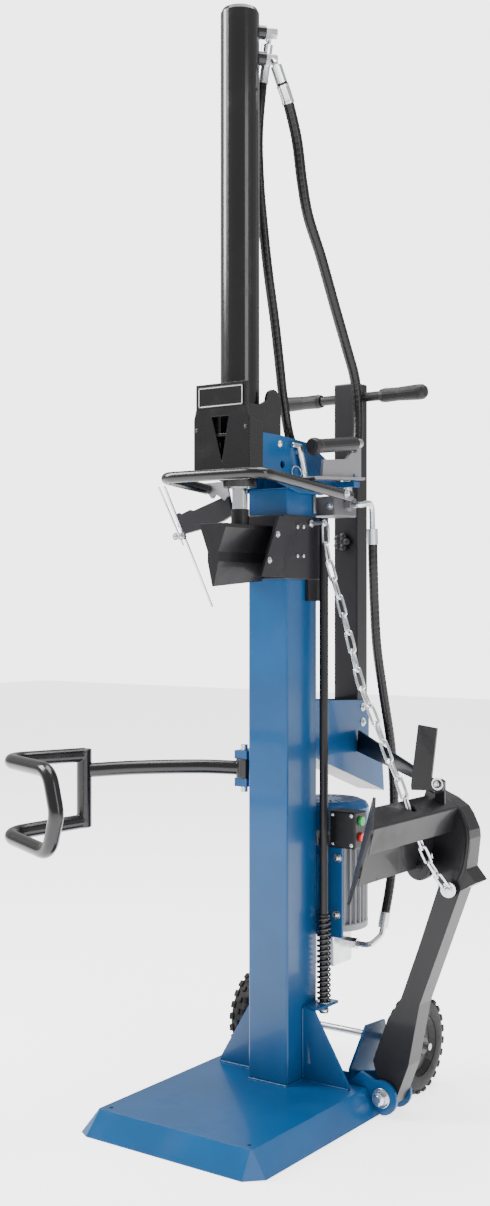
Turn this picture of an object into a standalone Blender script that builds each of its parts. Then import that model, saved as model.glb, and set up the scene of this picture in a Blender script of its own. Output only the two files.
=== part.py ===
"""Upright hydraulic log splitter with an electric motor, in metres, +Z up.

The origin is on the floor under the splitting axis. +X is the machine's right side and +Y its back,
where the wheels are. The ram stands on the splitting axis, the column behind it.
"""
import math

import bmesh
import bpy
from mathutils import Matrix, Vector

FIT = 0.0003                # gap that touching solids keep

# base and column
BASE_FLOOR = [              # outline of the base pan on the floor
    (-0.2305, -0.2280), (-0.2050, -0.2430), (0.1780, -0.2430), (0.2110, -0.2100),
    (0.2110, 0.2350), (-0.2305, 0.2350),
]
BASE_DECK = [               # outline of its flat top
    (-0.1880, -0.2215), (-0.1846, -0.2235), (0.1840, -0.2235), (0.1870, -0.2205),
    (0.1870, 0.1990), (-0.1880, 0.1990),
]
BASE_TOP = 0.055
BASE_WALL = 0.004
COLUMN_HALF = 0.050
COLUMN_FRONT = 0.100
COLUMN_BACK = 0.215
COLUMN_TOP = 1.310
COLUMN_WALL = 0.005
STROKE_ROD = (0.0735, 0.206)

# cylinder, rod and wedge
TUBE_RADIUS = 0.040
TUBE_WALL = 0.0065
TUBE_TOP = 2.290
TUBE_BOTTOM = 1.345
GLAND_BOTTOM = 1.305
ROD_RADIUS = 0.016
PISTON_TOP = 2.175
WEDGE_TOP = 1.228
WEDGE_BOTTOM = 1.101
PORT_DIRECTION = Vector((0.64, 0.768, 0.0))
PORT_HEIGHTS = {"upper": 2.246, "lower": 2.192}

# carriage that slides on the column
CARRIAGE_LOW = 1.118
CARRIAGE_HIGH = 1.252
CARRIAGE_HALF = 0.060
CARRIAGE_BACK = 0.2215
CARRIAGE_SLOT = 0.038       # half width of its open back, which passes the brackets on the column
BRACKET_HALF = 0.036

# head that carries the cylinder and the controls
CHEEK_INNER = 0.058
CHEEK_OUTER = 0.064
LEVER_X = 0.112
LEVER_PIVOT_Y = 0.262
VALVE_TOP = 1.2985

# motor and pump
MOTOR_Y = 0.344
MOTOR_RADIUS = 0.088
MOTOR_LOW = 0.345
MOTOR_HIGH = 0.570

# rear post and wheels
POST_HALF = 0.031
POST_FRONT = 0.415
POST_BACK = 0.461
POST_TOP = 1.571
HANDLE_Z = 1.540
HANDLE_Y = 0.440
HANDLE_REACH = 0.195
AXLE_Y = 0.370
AXLE_Z = 0.105
AXLE_RADIUS = 0.0075
WHEEL_RADIUS = 0.105
WHEEL_X = 0.202
TYRE_HALF = 0.022

# log lifter on the right
HINGE_X = 0.222
HINGE_Z = 0.040
EAR_FRONT = (0.1935, 0.2015)
EAR_REAR = (0.2548, 0.2618)
LIFTER_Y = 0.232
ARM_FRONT = 0.2030
ARM_BACK = 0.2535
LOCK_PIVOT = (0.3706, 0.7066)

# hoses and chain: the points that their smooth routes run through
HOSE_EXTEND = [
    (0.0600, 0.0640, 2.1450), (0.0620, 0.0860, 2.1080), (0.0620, 0.1180, 2.0400), (0.0610, 0.1390, 1.9600),
    (0.0600, 0.1650, 1.8900), (0.0600, 0.2150, 1.8150), (0.0600, 0.2700, 1.7200), (0.0600, 0.3200, 1.6350),
    (0.0600, 0.3560, 1.5700), (0.0610, 0.3680, 1.5000), (0.0650, 0.3600, 1.4350), (0.0700, 0.3320, 1.3750),
    (0.0720, 0.3010, 1.3360), (0.0720, 0.3000, 1.3120), (0.0720, 0.3000, VALVE_TOP + 2 * FIT),
]
HOSE_RETRACT = [
    (0.0130, 0.0720, 2.2000), (0.0020, 0.0760, 2.1500), (-0.0060, 0.0740, 2.0500),
    (-0.0040, 0.0760, 1.9500),
    (0.0000, 0.0840, 1.8600), (0.0000, 0.1015, 1.7700), (0.0000, 0.1260, 1.6700), (0.0000, 0.1430, 1.5880),
    (0.0000, 0.1600, 1.5040), (0.0000, 0.1850, 1.4250), (0.0000, 0.2250, 1.3870), (0.0000, 0.2560, 1.3600),
    (0.0000, 0.2620, 1.3250), (0.0000, 0.2620, VALVE_TOP + 2 * FIT),
]
HOSE_PRESSURE = [
    (0.1281, 0.3191, 1.1957), (0.1270, 0.3230, 1.1500), (0.1200, 0.3400, 1.0700), (0.1150, 0.3600, 0.9700),
    (0.1120, 0.3950, 0.8600), (0.1080, 0.4350, 0.7450), (0.1040, 0.4550, 0.6300), (0.1040, 0.4520, 0.5250),
    (0.1040, 0.4400, 0.4400), (0.1020, 0.4200, 0.3700),
]
HOSE_STEP = 0.034
CHAIN_HOOK = Vector((0.0985, 0.1720, 1.2330))
CHAIN_ROUTE = [
    tuple(CHAIN_HOOK), (0.1110, 0.1590, 1.1700), (0.1480, 0.1437, 1.0850), (0.1870, 0.1239, 0.9980),
    (0.2290, 0.1010, 0.9000), (0.2705, 0.0853, 0.8346), (0.3090, 0.0696, 0.7660), (0.3440, 0.0560, 0.7150),
    (0.3640, 0.0480, 0.6760), (0.3665, 0.0750, 0.6300), (0.3645, 0.1280, 0.5600), (0.3770, 0.1870, 0.4940),
]

parts = bpy.data.collections.new("log_splitter")
cutters = bpy.data.collections.new("cutters")


def start_empty():
    for thing in list(bpy.data.objects):
        bpy.data.objects.remove(thing, do_unlink=True)
    bpy.context.scene.collection.children.link(parts)
    bpy.context.scene.collection.children.link(cutters)


def paint(name, colour, roughness, metallic=0.0):
    material = bpy.data.materials.new(name)
    material.use_nodes = True
    shader = material.node_tree.nodes["Principled BSDF"]
    shader.inputs["Base Color"].default_value = (*colour, 1.0)
    shader.inputs["Roughness"].default_value = roughness
    shader.inputs["Metallic"].default_value = metallic
    return material


BLUE = paint("blue_paint", (0.0, 0.12, 0.27), 0.4)
BLACK = paint("black_paint", (0.012, 0.012, 0.015), 0.35)
GREY = paint("dark_grey_paint", (0.03, 0.03, 0.035), 0.5)
CHROME = paint("hard_chrome", (0.8, 0.8, 0.82), 0.08, 1.0)
ZINC = paint("zinc_plate", (0.62, 0.63, 0.65), 0.3, 1.0)
RUBBER = paint("rubber", (0.012, 0.012, 0.012), 0.7)
PLASTIC = paint("black_plastic", (0.02, 0.02, 0.022), 0.5)
TYRE = paint("tyre_rubber", (0.012, 0.012, 0.012), 0.8)
ALUMINIUM = paint("grey_aluminium", (0.25, 0.26, 0.28), 0.5, 0.6)
GREEN = paint("green_plastic", (0.02, 0.3, 0.06), 0.4)
RED = paint("red_plastic", (0.5, 0.02, 0.02), 0.4)
STEEL = paint("steel", (0.45, 0.45, 0.47), 0.35, 1.0)


def keep(thing, name, material):
    """Put an object in the parts' collection under its own name, with its material."""
    thing.name = name
    thing.data.name = name
    thing.data.materials.clear()
    thing.data.materials.append(material)
    for owner in list(thing.users_collection):
        owner.objects.unlink(thing)
    parts.objects.link(thing)
    if thing.type == "MESH":
        thing.data.shade_smooth()
        thing.data.set_sharp_from_angle(angle=math.radians(35))
    return thing


def box(name, low, high, material, bevel=0.0):
    """A block between two corners, with its scale applied and its edges rounded."""
    low = Vector(low)
    high = Vector(high)
    bpy.ops.mesh.primitive_cube_add(size=1.0, location=(low + high) / 2)
    block = bpy.context.object
    block.data.transform(Matrix.Diagonal((*(high - low), 1.0)))
    keep(block, name, material)
    if bevel:
        rounding = block.modifiers.new("rounding", "BEVEL")
        rounding.width = bevel
        rounding.segments = 2
        rounding.limit_method = "ANGLE"
    return block


def rod(name, start, end, radius, material, sides=24, end_radius=None):
    """A round bar, or a cone, from one point to another."""
    start = Vector(start)
    end = Vector(end)
    along = end - start
    bpy.ops.mesh.primitive_cone_add(
        vertices=sides,
        radius1=radius,
        radius2=radius if end_radius is None else end_radius,
        depth=along.length,
        location=(start + end) / 2,
    )
    bar = bpy.context.object
    bar.rotation_euler = along.to_track_quat("Z", "Y").to_euler()
    return keep(bar, name, material)


def outline_curve(name, outline):
    """A closed flat outline as a 2D curve in its own XY plane."""
    data = bpy.data.curves.new(name, "CURVE")
    data.dimensions = "2D"
    data.fill_mode = "BOTH"
    spline = data.splines.new("POLY")
    spline.points.add(len(outline) - 1)
    for point, (x, y) in zip(spline.points, outline):
        point.co = (x, y, 0.0, 1.0)
    spline.use_cyclic_u = True
    return data


def mesh_of(curve_object):
    """The closed mesh of a curve object, in a new object that takes its place."""
    view = bpy.context.evaluated_depsgraph_get()
    mesh = bpy.data.meshes.new_from_object(curve_object.evaluated_get(view))
    shape = bmesh.new()
    shape.from_mesh(mesh)
    bmesh.ops.remove_doubles(shape, verts=shape.verts, dist=0.00002)
    bmesh.ops.recalc_face_normals(shape, faces=shape.faces)
    shape.to_mesh(mesh)
    shape.free()
    solid = bpy.data.objects.new(curve_object.name + "_mesh", mesh)
    solid.matrix_world = curve_object.matrix_world
    bpy.context.scene.collection.objects.link(solid)
    bpy.data.objects.remove(curve_object, do_unlink=True)
    return solid


AXES = {
    "X": Matrix(((0, 0, 1), (1, 0, 0), (0, 1, 0))),     # outline in (Y, Z), thickness along X
    "Y": Matrix(((1, 0, 0), (0, 0, -1), (0, 1, 0))),    # outline in (X, Z), thickness along Y
    "Z": Matrix.Identity(3),                            # outline in (X, Y), thickness along Z
}


def plate(name, axis, outline, low, high, material):
    """A flat plate: an outline drawn square to one axis, filled between two places on it."""
    data = outline_curve(name, outline)
    data.extrude = (high - low) / 2
    flat = bpy.data.objects.new(name, data)
    bpy.context.scene.collection.objects.link(flat)
    middle = Vector([(low + high) / 2 if axis == letter else 0.0 for letter in "XYZ"])
    flat.matrix_world = Matrix.Translation(middle) @ AXES[axis].to_4x4()
    bpy.context.view_layer.update()
    return keep(mesh_of(flat), name, material)


def prism(name, corners, shift, material):
    """A solid between a flat outline in space and the same outline moved by a shift."""
    count = len(corners)
    shift = Vector(shift)
    points = [Vector(corner) for corner in corners]
    points += [point + shift for point in points]
    faces = [list(range(count)), list(reversed(range(count, 2 * count)))]
    for index in range(count):
        after = (index + 1) % count
        faces.append([after, index, count + index, count + after])
    shape = bmesh.new()
    corners_made = [shape.verts.new(point) for point in points]
    for face in faces:
        shape.faces.new([corners_made[index] for index in face])
    bmesh.ops.recalc_face_normals(shape, faces=shape.faces)
    mesh = bpy.data.meshes.new(name)
    shape.to_mesh(mesh)
    shape.free()
    return keep(bpy.data.objects.new(name, mesh), name, material)


def arc(centre, radius, first, last, count):
    """Points on an arc, with its angles in degrees."""
    points = []
    for step in range(count + 1):
        angle = math.radians(first + (last - first) * step / count)
        points.append((centre[0] + radius * math.cos(angle), centre[1] + radius * math.sin(angle)))
    return points


def turned(name, profile, base, direction, material, sides=32):
    """A turned solid: (radius, height) pairs from the top down, along a direction from a base."""
    mesh = bpy.data.meshes.new(name)
    points = [(radius, 0.0, height) for radius, height in profile]
    mesh.from_pydata(points, [(i, i + 1) for i in range(len(points) - 1)], [])
    solid = bpy.data.objects.new(name, mesh)
    bpy.context.scene.collection.objects.link(solid)
    screw = solid.modifiers.new("turning", "SCREW")
    screw.axis = "Z"
    screw.steps = sides
    screw.render_steps = sides
    screw.use_merge_vertices = True
    screw.merge_threshold = 0.00005
    solid.location = base
    solid.rotation_euler = Vector(direction).to_track_quat("Z", "Y").to_euler()
    return keep(solid, name, material)


def rounded_route(corners, radius, steps=5):
    """The points of a bent tube: straight runs with an arc at each corner."""
    corners = [Vector(corner) for corner in corners]
    route = [corners[0]]
    for before, corner, after in zip(corners, corners[1:], corners[2:]):
        back = (before - corner).normalized()
        ahead = (after - corner).normalized()
        reach = min(radius / math.tan(back.angle(ahead) / 2), (before - corner).length * 0.48,
                    (after - corner).length * 0.48)
        for step in range(steps + 1):
            share = step / steps
            first = corner + back * reach * (1 - share)
            second = corner + ahead * reach * share
            route.append(first.lerp(second, share))
    return route + [corners[-1]]


def smooth_route(points, spacing):
    """Evenly spaced points on a smooth curve through a route's own points."""
    points = [Vector(point) for point in points]
    ends = [points[0] * 2 - points[1]] + points + [points[-1] * 2 - points[-2]]
    fine = []
    for a, b, c, d in zip(ends, ends[1:], ends[2:], ends[3:]):
        for step in range(20):
            t = step / 20
            fine.append(0.5 * (2 * b + (c - a) * t + (2 * a - 5 * b + 4 * c - d) * t * t
                               + (3 * b - a - 3 * c + d) * t ** 3))
    fine.append(points[-1])
    length = sum((q - p).length for p, q in zip(fine, fine[1:]))
    count = max(2, round(length / spacing))
    route = [fine[0]]
    walked = 0.0
    for p, q in zip(fine, fine[1:]):
        run = (q - p).length
        while len(route) < count and walked + run >= length * len(route) / count:
            share = (length * len(route) / count - walked) / run
            route.append(p.lerp(q, share))
        walked += run
    return route + [fine[-1]]


def tube(name, route, radius, material, resolution=2):
    """A round tube, wire or hose as a curve along a route."""
    data = bpy.data.curves.new(name, "CURVE")
    data.dimensions = "3D"
    data.bevel_depth = radius
    data.bevel_resolution = resolution
    data.use_fill_caps = True
    spline = data.splines.new("POLY")
    spline.points.add(len(route) - 1)
    for point, place in zip(spline.points, route):
        point.co = (*place, 1.0)
    curve = bpy.data.objects.new(name, data)
    bpy.context.scene.collection.objects.link(curve)
    return keep(curve, name, material)


def set_aside(thing):
    """Make an object a cutter that the build leaves out."""
    for owner in list(thing.users_collection):
        owner.objects.unlink(thing)
    cutters.objects.link(thing)
    thing.hide_render = True
    thing.display_type = "WIRE"


def combine(target, operation, others):
    for other in others:
        step = target.modifiers.new(other.name, "BOOLEAN")
        step.operation = operation
        step.solver = "EXACT"
        step.object = other
        set_aside(other)
    return target


def cut(target, *others):
    return combine(target, "DIFFERENCE", others)


def join(target, *others):
    return combine(target, "UNION", others)


def mirrored(outline):
    return [(-x, y) for x, y in reversed(outline)]


def hang_on(pivot_name, pivot, things):
    """Parent the pieces of a moving body to an empty on its joint."""
    empty = bpy.data.objects.new(pivot_name, None)
    empty.location = pivot
    parts.objects.link(empty)
    for thing in things:
        thing.parent = empty
        thing.matrix_parent_inverse = Matrix.Translation(-Vector(pivot))
    return empty


def base():
    """Folded base pan, open underneath, with the rib across its middle."""
    count = len(BASE_FLOOR)
    points = [(x, y, 0.0) for x, y in BASE_FLOOR] + [(x, y, BASE_TOP) for x, y in BASE_DECK]
    faces = [list(range(count, 2 * count))]
    for index in range(count):
        after = (index + 1) % count
        faces.append([index, after, count + after, count + index])
    mesh = bpy.data.meshes.new("base_plate")
    mesh.from_pydata(points, [], faces)
    pan = bpy.data.objects.new("base_plate", mesh)
    keep(pan, "base_plate", BLUE)
    wall = pan.modifiers.new("wall", "SOLIDIFY")
    wall.thickness = BASE_WALL
    wall.offset = -1.0
    cut(pan, box("floor_trim", (-0.30, -0.30, -0.02), (0.30, 0.30, 0.0), BLUE))
    join(pan, box("base_rib", (-0.170, -0.022, 0.0), (0.150, 0.022, BASE_TOP - BASE_WALL / 2), BLUE))


def gusset_outline():
    return [
        (COLUMN_HALF + FIT, BASE_TOP + FIT),
        (0.167, BASE_TOP + FIT),
        (0.163, 0.068),
        (0.080, 0.205),
        (COLUMN_HALF + FIT, 0.212),
    ]


def column():
    """Rectangular steel column that guides the carriage and holds the oil."""
    outer = box(
        "column",
        (-COLUMN_HALF, COLUMN_FRONT, BASE_TOP + FIT),
        (COLUMN_HALF, COLUMN_BACK, COLUMN_TOP),
        BLUE,
        0.004,
    )
    inner = COLUMN_HALF - COLUMN_WALL
    bore = box(
        "column_bore",
        (-inner, COLUMN_FRONT + COLUMN_WALL, 0.0),
        (inner, COLUMN_BACK - COLUMN_WALL, COLUMN_TOP - COLUMN_WALL),
        BLUE,
    )
    cut(outer, bore)
    for side, sign in (("right", 1), ("left", -1)):
        outline = gusset_outline() if sign > 0 else mirrored(gusset_outline())
        gusset = plate("gusset_" + side, "Y", outline, 0.156, 0.162, BLUE)
        slot = [(0.064, 0.090), (0.072, 0.090), (0.0655, 0.150)]
        slot = slot if sign > 0 else mirrored(slot)
        cut(gusset, plate("gusset_slot_" + side, "Y", slot, 0.14, 0.18, BLUE))
        if sign > 0:
            join(gusset, box("rod_guide", (0.0503, 0.1615, 0.206), (0.090, 0.238, 0.2120), BLUE))
            cut(gusset, rod("rod_guide_hole", (*STROKE_ROD, 0.19), (*STROKE_ROD, 0.23), 0.0105, BLUE))


def head():
    """Welded head: two cheeks outside the column, a web behind it and the block under them."""
    cheek = [
        (-0.016, 1.330), (-0.016, 1.414), (0.060, 1.4135), (0.166, 1.407),
        (0.2665, 1.362), (0.2665, 1.312), (0.215, 1.300), (0.130, 1.300),
    ]
    right = plate("head_frame", "X", cheek, CHEEK_INNER, CHEEK_OUTER, BLUE)
    left = plate("head_left", "X", cheek, -CHEEK_OUTER, -CHEEK_INNER, BLUE)
    web = box("head_web", (-CHEEK_OUTER + 0.001, COLUMN_BACK + FIT, 1.318),
              (CHEEK_OUTER - 0.001, COLUMN_BACK + 0.0063, 1.372), BLUE)
    join(right, web, left)
    spacers = []
    for sign in (1, -1):
        spacers.append(box("head_spacer", (sign * 0.0545 - 0.0042, 0.165, 1.302),
                           (sign * 0.0545 + 0.0042, COLUMN_BACK + 0.003, 1.340), BLUE))
    join(right, *spacers)
    holes = [
        rod("pin_hole", (-0.08, 0.118, 1.386), (0.08, 0.118, 1.386), 0.0083, BLUE, 20),
        rod("spare_hole", (-0.08, 0.062, 1.354), (0.08, 0.062, 1.354), 0.0085, BLUE, 20),
    ]
    cut(right, *holes)


def hose_end(points, last=False):
    """Where a hose's fitting stops, just short of its end, and the direction that the hose leaves in."""
    route = smooth_route(points, HOSE_STEP)
    if last:
        route.reverse()
    ahead = (route[1] - route[0]).normalized()
    return route[0] - ahead * FIT, ahead


def pipe_with_sleeve(name, route, tip, ahead):
    """A bent steel pipe that ends in the crimped sleeve of a hose."""
    pipe = mesh_of(tube(name, route, 0.0065, ZINC, 2))
    keep(pipe, name, ZINC)
    return join(pipe, rod(name + "_sleeve", tip, tip - ahead * 0.034, 0.0118, ZINC, 16))


def valve():
    """Spool valve behind the column's top, with the pipe elbow for the pump's pressure hose."""
    body = box("valve_block", (-0.045, 0.2235, 1.256), (0.090, 0.315, VALVE_TOP), GREY, 0.003)
    join(body, rod("valve_union", (0.086, 0.268, 1.280), (0.108, 0.268, 1.280), 0.013, GREY, 6))
    tip, ahead = hose_end(HOSE_PRESSURE)
    route = rounded_route([(0.1083, 0.268, 1.280), (0.1290, 0.268, 1.280), (0.1300, 0.312, 1.288),
                           tip - ahead * 0.050, tip], 0.018)
    pipe_with_sleeve("valve_elbow", route, tip, ahead)


def cylinder():
    """Hydraulic cylinder: welded tube, screwed gland, ports, and the bracket that pins it to the head."""
    outer = [
        (0.0, TUBE_TOP), (0.026, TUBE_TOP), (0.036, TUBE_TOP - 0.004),
        (TUBE_RADIUS, TUBE_TOP - 0.012), (TUBE_RADIUS, TUBE_BOTTOM),
        (TUBE_RADIUS - TUBE_WALL, TUBE_BOTTOM), (TUBE_RADIUS - TUBE_WALL, TUBE_TOP - 0.022),
        (0.0, TUBE_TOP - 0.022),
    ]
    ram_tube = turned("ram_tube", outer, (0, 0, 0), (0, 0, 1), BLACK, 36)
    for level, height in PORT_HEIGHTS.items():
        start = PORT_DIRECTION * (TUBE_RADIUS - 0.004) + Vector((0, 0, height))
        end = PORT_DIRECTION * (TUBE_RADIUS + 0.014) + Vector((0, 0, height))
        join(ram_tube, rod("port_boss_" + level, start, end, 0.014, BLACK, 20))
    inside = TUBE_RADIUS - TUBE_WALL - FIT
    gland = [
        (inside, TUBE_BOTTOM - FIT), (0.036, TUBE_BOTTOM - FIT), (0.036, 1.325), (0.034, GLAND_BOTTOM),
        (ROD_RADIUS + FIT, GLAND_BOTTOM), (ROD_RADIUS + FIT, TUBE_BOTTOM + 0.045),
        (inside, TUBE_BOTTOM + 0.045),
    ]
    gland_solid = turned("cylinder_gland", gland + gland[:1], (0, 0, 0), (0, 0, 1), BLACK)
    things = [ram_tube, gland_solid, bracket(), nameplate()]
    for level, height in PORT_HEIGHTS.items():
        things.append(port_fitting(level, height))
    return things


def port_fitting(level, height):
    """Banjo bolt in its port, with the pipe that turns down to the hose."""
    start = PORT_DIRECTION * (TUBE_RADIUS + 0.014 + FIT) + Vector((0, 0, height))
    end = start + PORT_DIRECTION * 0.024
    fitting = rod("port_fitting_" + level, start, end, 0.0115, ZINC, 6)
    tip, ahead = hose_end(HOSE_RETRACT if level == "upper" else HOSE_EXTEND)
    route = rounded_route([(start + end) / 2, tip - ahead * 0.040, tip], 0.012, 4)
    join(fitting, pipe_with_sleeve("port_pipe_" + level, route, tip, ahead))
    return fitting


def bracket():
    """Folded bracket round the cylinder's foot: front plate, two flanges and two tongues."""
    front = [
        (-0.068, 1.326), (0.068, 1.326), (0.068, 1.443), (0.0630, 1.462), (0.0630, 1.512),
        (-0.0630, 1.512), (-0.0630, 1.462), (-0.068, 1.443),
    ]
    shell = plate("cylinder_bracket", "Y", front, -0.066, -0.060, BLACK)
    notch = [(-0.024, 1.445), (0.002, 1.353), (0.020, 1.445)]
    cut(shell, plate("front_notch", "Y", notch, -0.08, -0.05, BLACK))
    tongue = [(-0.063, 1.335), (0.120, 1.335), (0.146, 1.362), (0.146, 1.396), (0.066, 1.407)]
    tongue += arc((0.040, 1.481), 0.026, 0, 180, 8)
    tongue += [(-0.010, 1.470), (-0.063, 1.470)]
    for side, sign in (("right", 1), ("left", -1)):
        low, high = sorted((sign * 0.0508, sign * 0.0568))
        join(shell, plate("tongue_" + side, "X", tongue, low, high, BLACK))
        low, high = sorted((sign * 0.0645, sign * 0.0700))
        flange = [(-0.064, 1.326), (-0.018, 1.326), (-0.018, 1.432), (-0.064, 1.443)]
        join(shell, plate("flange_" + side, "X", flange, low, high, BLACK))
    saddle = box("saddle", (-0.054, -0.062, 1.405), (0.054, 0.030, 1.411), BLACK)
    join(shell, saddle)
    cut(shell, rod("tube_seat", (0, 0, 1.30), (0, 0, 1.60), TUBE_RADIUS + FIT, BLACK, 40))
    cut(shell, rod("bracket_pin_hole", (-0.08, 0.118, 1.386), (0.08, 0.118, 1.386), 0.0083, BLACK, 20))
    return shell


def nameplate():
    """Blank plate in a raised frame on the bracket's front."""
    shield = box("nameplate", (-0.0560, -0.0683, 1.464), (0.0560, -0.0663, 1.506), GREY, 0.0005)
    return cut(shield, box("plate_field", (-0.0525, -0.070, 1.4675), (0.0525, -0.0677, 1.5025), GREY))


def locking_pin():
    """Pin that holds the bracket in the head's right cheek, with its pull bar."""
    tip = (CHEEK_INNER - 0.0008, 0.118, 1.386)
    pin = rod("locking_pin", tip, (0.0735, 0.118, 1.386), 0.008, ZINC, 20)
    join(pin, rod("pin_bar", (0.0715, 0.112, 1.398), (0.0715, 0.136, 1.333), 0.0068, ZINC, 16))
    return [pin]


def slider():
    """Piston, rod, wedge and the carriage that runs on the column."""
    inner = TUBE_RADIUS - TUBE_WALL - FIT
    piston = rod("piston", (0, 0, PISTON_TOP - 0.045), (0, 0, PISTON_TOP), inner, STEEL, 40)
    low = (0, 0, WEDGE_TOP + 0.012)
    high = (0, 0, PISTON_TOP - 0.045 - FIT)
    piston_rod = rod("piston_rod", low, high, ROD_RADIUS, CHROME, 32)
    return [piston, piston_rod, wedge(), carriage()]


def wedge():
    """Splitting wedge: shoulders above, a body that narrows to an edge along Y."""
    front, back = -0.093, 0.072
    section = [
        (0.0018, WEDGE_BOTTOM), (0.0135, WEDGE_BOTTOM + 0.050), (0.0135, WEDGE_BOTTOM + 0.070),
        (0.032, WEDGE_TOP - 0.008), (0.032, WEDGE_TOP),
    ]
    outline = section + [(-x, z) for x, z in reversed(section)]
    blade = plate("wedge", "Y", outline, front, back, BLACK)
    heel = [
        (front - 0.004, WEDGE_BOTTOM - 0.010), (back + 0.001, WEDGE_BOTTOM - 0.010),
        (back + 0.001, WEDGE_BOTTOM + 0.013), (front, WEDGE_BOTTOM),
    ]
    cut(blade, plate("heel_cut", "X", heel, -0.04, 0.04, BLACK))
    collar = [
        (ROD_RADIUS + FIT, 1.2605), (0.0185, 1.2605), (0.0185, WEDGE_TOP - 0.01), (0.0, WEDGE_TOP - 0.01),
        (0.0, WEDGE_TOP + 0.0117), (ROD_RADIUS + FIT, WEDGE_TOP + 0.0117),
    ]
    join(blade, turned("rod_collar", collar + collar[:1], (0, 0, 0), (0, 0, 1), BLACK, 32))
    return blade


def carriage():
    """Welded box that runs on the column's outside, with guide straps down its back corners."""
    low = (-CARRIAGE_HALF, 0.0725, CARRIAGE_LOW)
    high = (CARRIAGE_HALF, CARRIAGE_BACK, CARRIAGE_HIGH)
    sleeve = box("carriage", low, high, GREY, 0.0015)
    gap = 0.0008
    bore = box("carriage_bore", (-COLUMN_HALF - gap, COLUMN_FRONT - gap, 1.0),
               (COLUMN_HALF + gap, COLUMN_BACK + gap, 1.4), GREY)
    slot = box("carriage_slot", (-CARRIAGE_SLOT, 0.200, 1.0), (CARRIAGE_SLOT, 0.240, 1.4), GREY)
    cut(sleeve, bore, slot)
    side_outline = [(-0.009, 1.122), (0.080, 1.122), (0.080, 1.248), (0.056, 1.248)]
    for sign in (1, -1):
        inner, outer = sorted((sign * (COLUMN_HALF + gap + 0.0004), sign * 0.0590))
        strap_top = CARRIAGE_LOW + 0.004
        join(sleeve, box("guide_strap", (inner, 0.168, 1.072), (outer, 0.2190, strap_top), GREY))
        inner, outer = sorted((sign * 0.0540, sign * CARRIAGE_HALF))
        join(sleeve, plate("side_plate", "X", side_outline, inner, outer, GREY))
    return sleeve


def controls(side, sign):
    """One hand lever: a foot plate on its upright pivot, a guard plate and the grip on top of it."""
    low, high = sorted((sign * (LEVER_X - 0.018), sign * (LEVER_X + 0.018)))
    foot = [
        (0.080, 1.3260), (0.088, 1.3215), (0.096, 1.3225), (0.128, 1.3250), (0.284, 1.3340),
        (0.284, 1.3400), (0.128, 1.3310), (0.088, 1.3290),
    ]
    lever = plate("control_lever_" + side, "X", foot, low, high, GREY)
    guard = [
        (0.134, 1.328), (0.280, 1.336), (0.292, 1.340), (0.292, 1.398), (0.258, 1.398), (0.232, 1.376),
        (0.140, 1.368),
    ]
    inner, outer = sorted((sign * (LEVER_X - 0.003), sign * (LEVER_X + 0.003)))
    join(lever, plate("lever_guard_" + side, "X", guard, inner, outer, GREY))
    front = Vector((sign * LEVER_X, 0.098, 1.3912))
    back = Vector((sign * LEVER_X, 0.2715, 1.4132))
    axis = (back - front).normalized()
    length = (back - front).length
    stub = rod("lever_stub_" + side, back + axis * FIT, back + axis * 0.020, 0.010, GREY, 16)
    join(lever, stub, box("lever_neck_" + side, (inner, 0.274, 1.390), (outer, 0.2915, 1.413), GREY))
    profile = [
        (0.0, length), (0.013, length), (0.0150, length - 0.004), (0.0150, 0.030), (0.0165, 0.022),
        (0.0185, 0.014), (0.0185, 0.006), (0.0150, 0.001), (0.008, 0.0), (0.0, 0.0),
    ]
    grip = turned("lever_grip_" + side, profile, front, axis, PLASTIC, 20)
    cut(lever, rod("grip_room_" + side, front - axis * 0.01, back + axis * 0.0001, 0.0198, GREY, 24))
    arm_low, arm_high = sorted((sign * (CHEEK_OUTER - 0.003), sign * (LEVER_X + 0.010)))
    arm = box("pivot_arm_" + side, (arm_low, 0.2500, 1.3180), (arm_high, 0.2740, 1.3300), BLUE)
    foot_point = Vector((sign * LEVER_X, LEVER_PIVOT_Y, 1.3190))
    pin = rod("pivot_pin_" + side, foot_point, foot_point + Vector((0, 0, 0.0270)), 0.005, BLUE, 16)
    join(bpy.data.objects["head_frame"], arm, pin)
    pivot_top = foot_point + Vector((0, 0, 0.0276))
    cut(lever, rod("pivot_room_" + side, foot_point, pivot_top, 0.0058, GREY, 16))
    return [lever, grip]


def left_claw():
    """Toothed stop and notched claw that the left lever swings against the log."""
    stop = [
        (-0.165, 1.327), (-0.090, 1.327), (-0.084, 1.300), (-0.095, 1.2870), (-0.119, 1.3020),
        (-0.127, 1.2930), (-0.131, 1.2930), (-0.138, 1.3020),
    ]
    toothed = plate("toothed_stop", "Y", stop, 0.0757, 0.0817, GREY)
    join(toothed, box("stop_tab", (-0.126, 0.080, 1.3190), (-0.096, 0.100, 1.3262), GREY))
    claw = [
        (-0.2325, 1.2620), (-0.226, 1.2660), (-0.223, 1.2610), (-0.194, 1.2715), (-0.188, 1.2680),
        (-0.090, 1.2995), (-0.080, 1.2560), (-0.105, 1.2440), (-0.163, 1.2280), (-0.2100, 1.2190),
        (-0.213, 1.2290), (-0.226, 1.2340),
    ]
    plain = plate("claw_plate", "Y", claw, 0.0820, 0.0910, GREY)
    return toothed, plain


def control_bow():
    """Bent tube that joins the two levers' brackets in front of the cylinder and guards the hands."""
    corners = [
        (0.1200, 0.2350, 1.2970), (0.1200, -0.0930, 1.3240), (-0.1230, -0.1040, 1.3240),
        (-0.1400, 0.0715, 1.3130),
    ]
    bow = mesh_of(tube("bow_tube", rounded_route(corners, 0.035), 0.0115, BLACK, 3))
    keep(bow, "control_bow", BLACK)
    return bow


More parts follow.
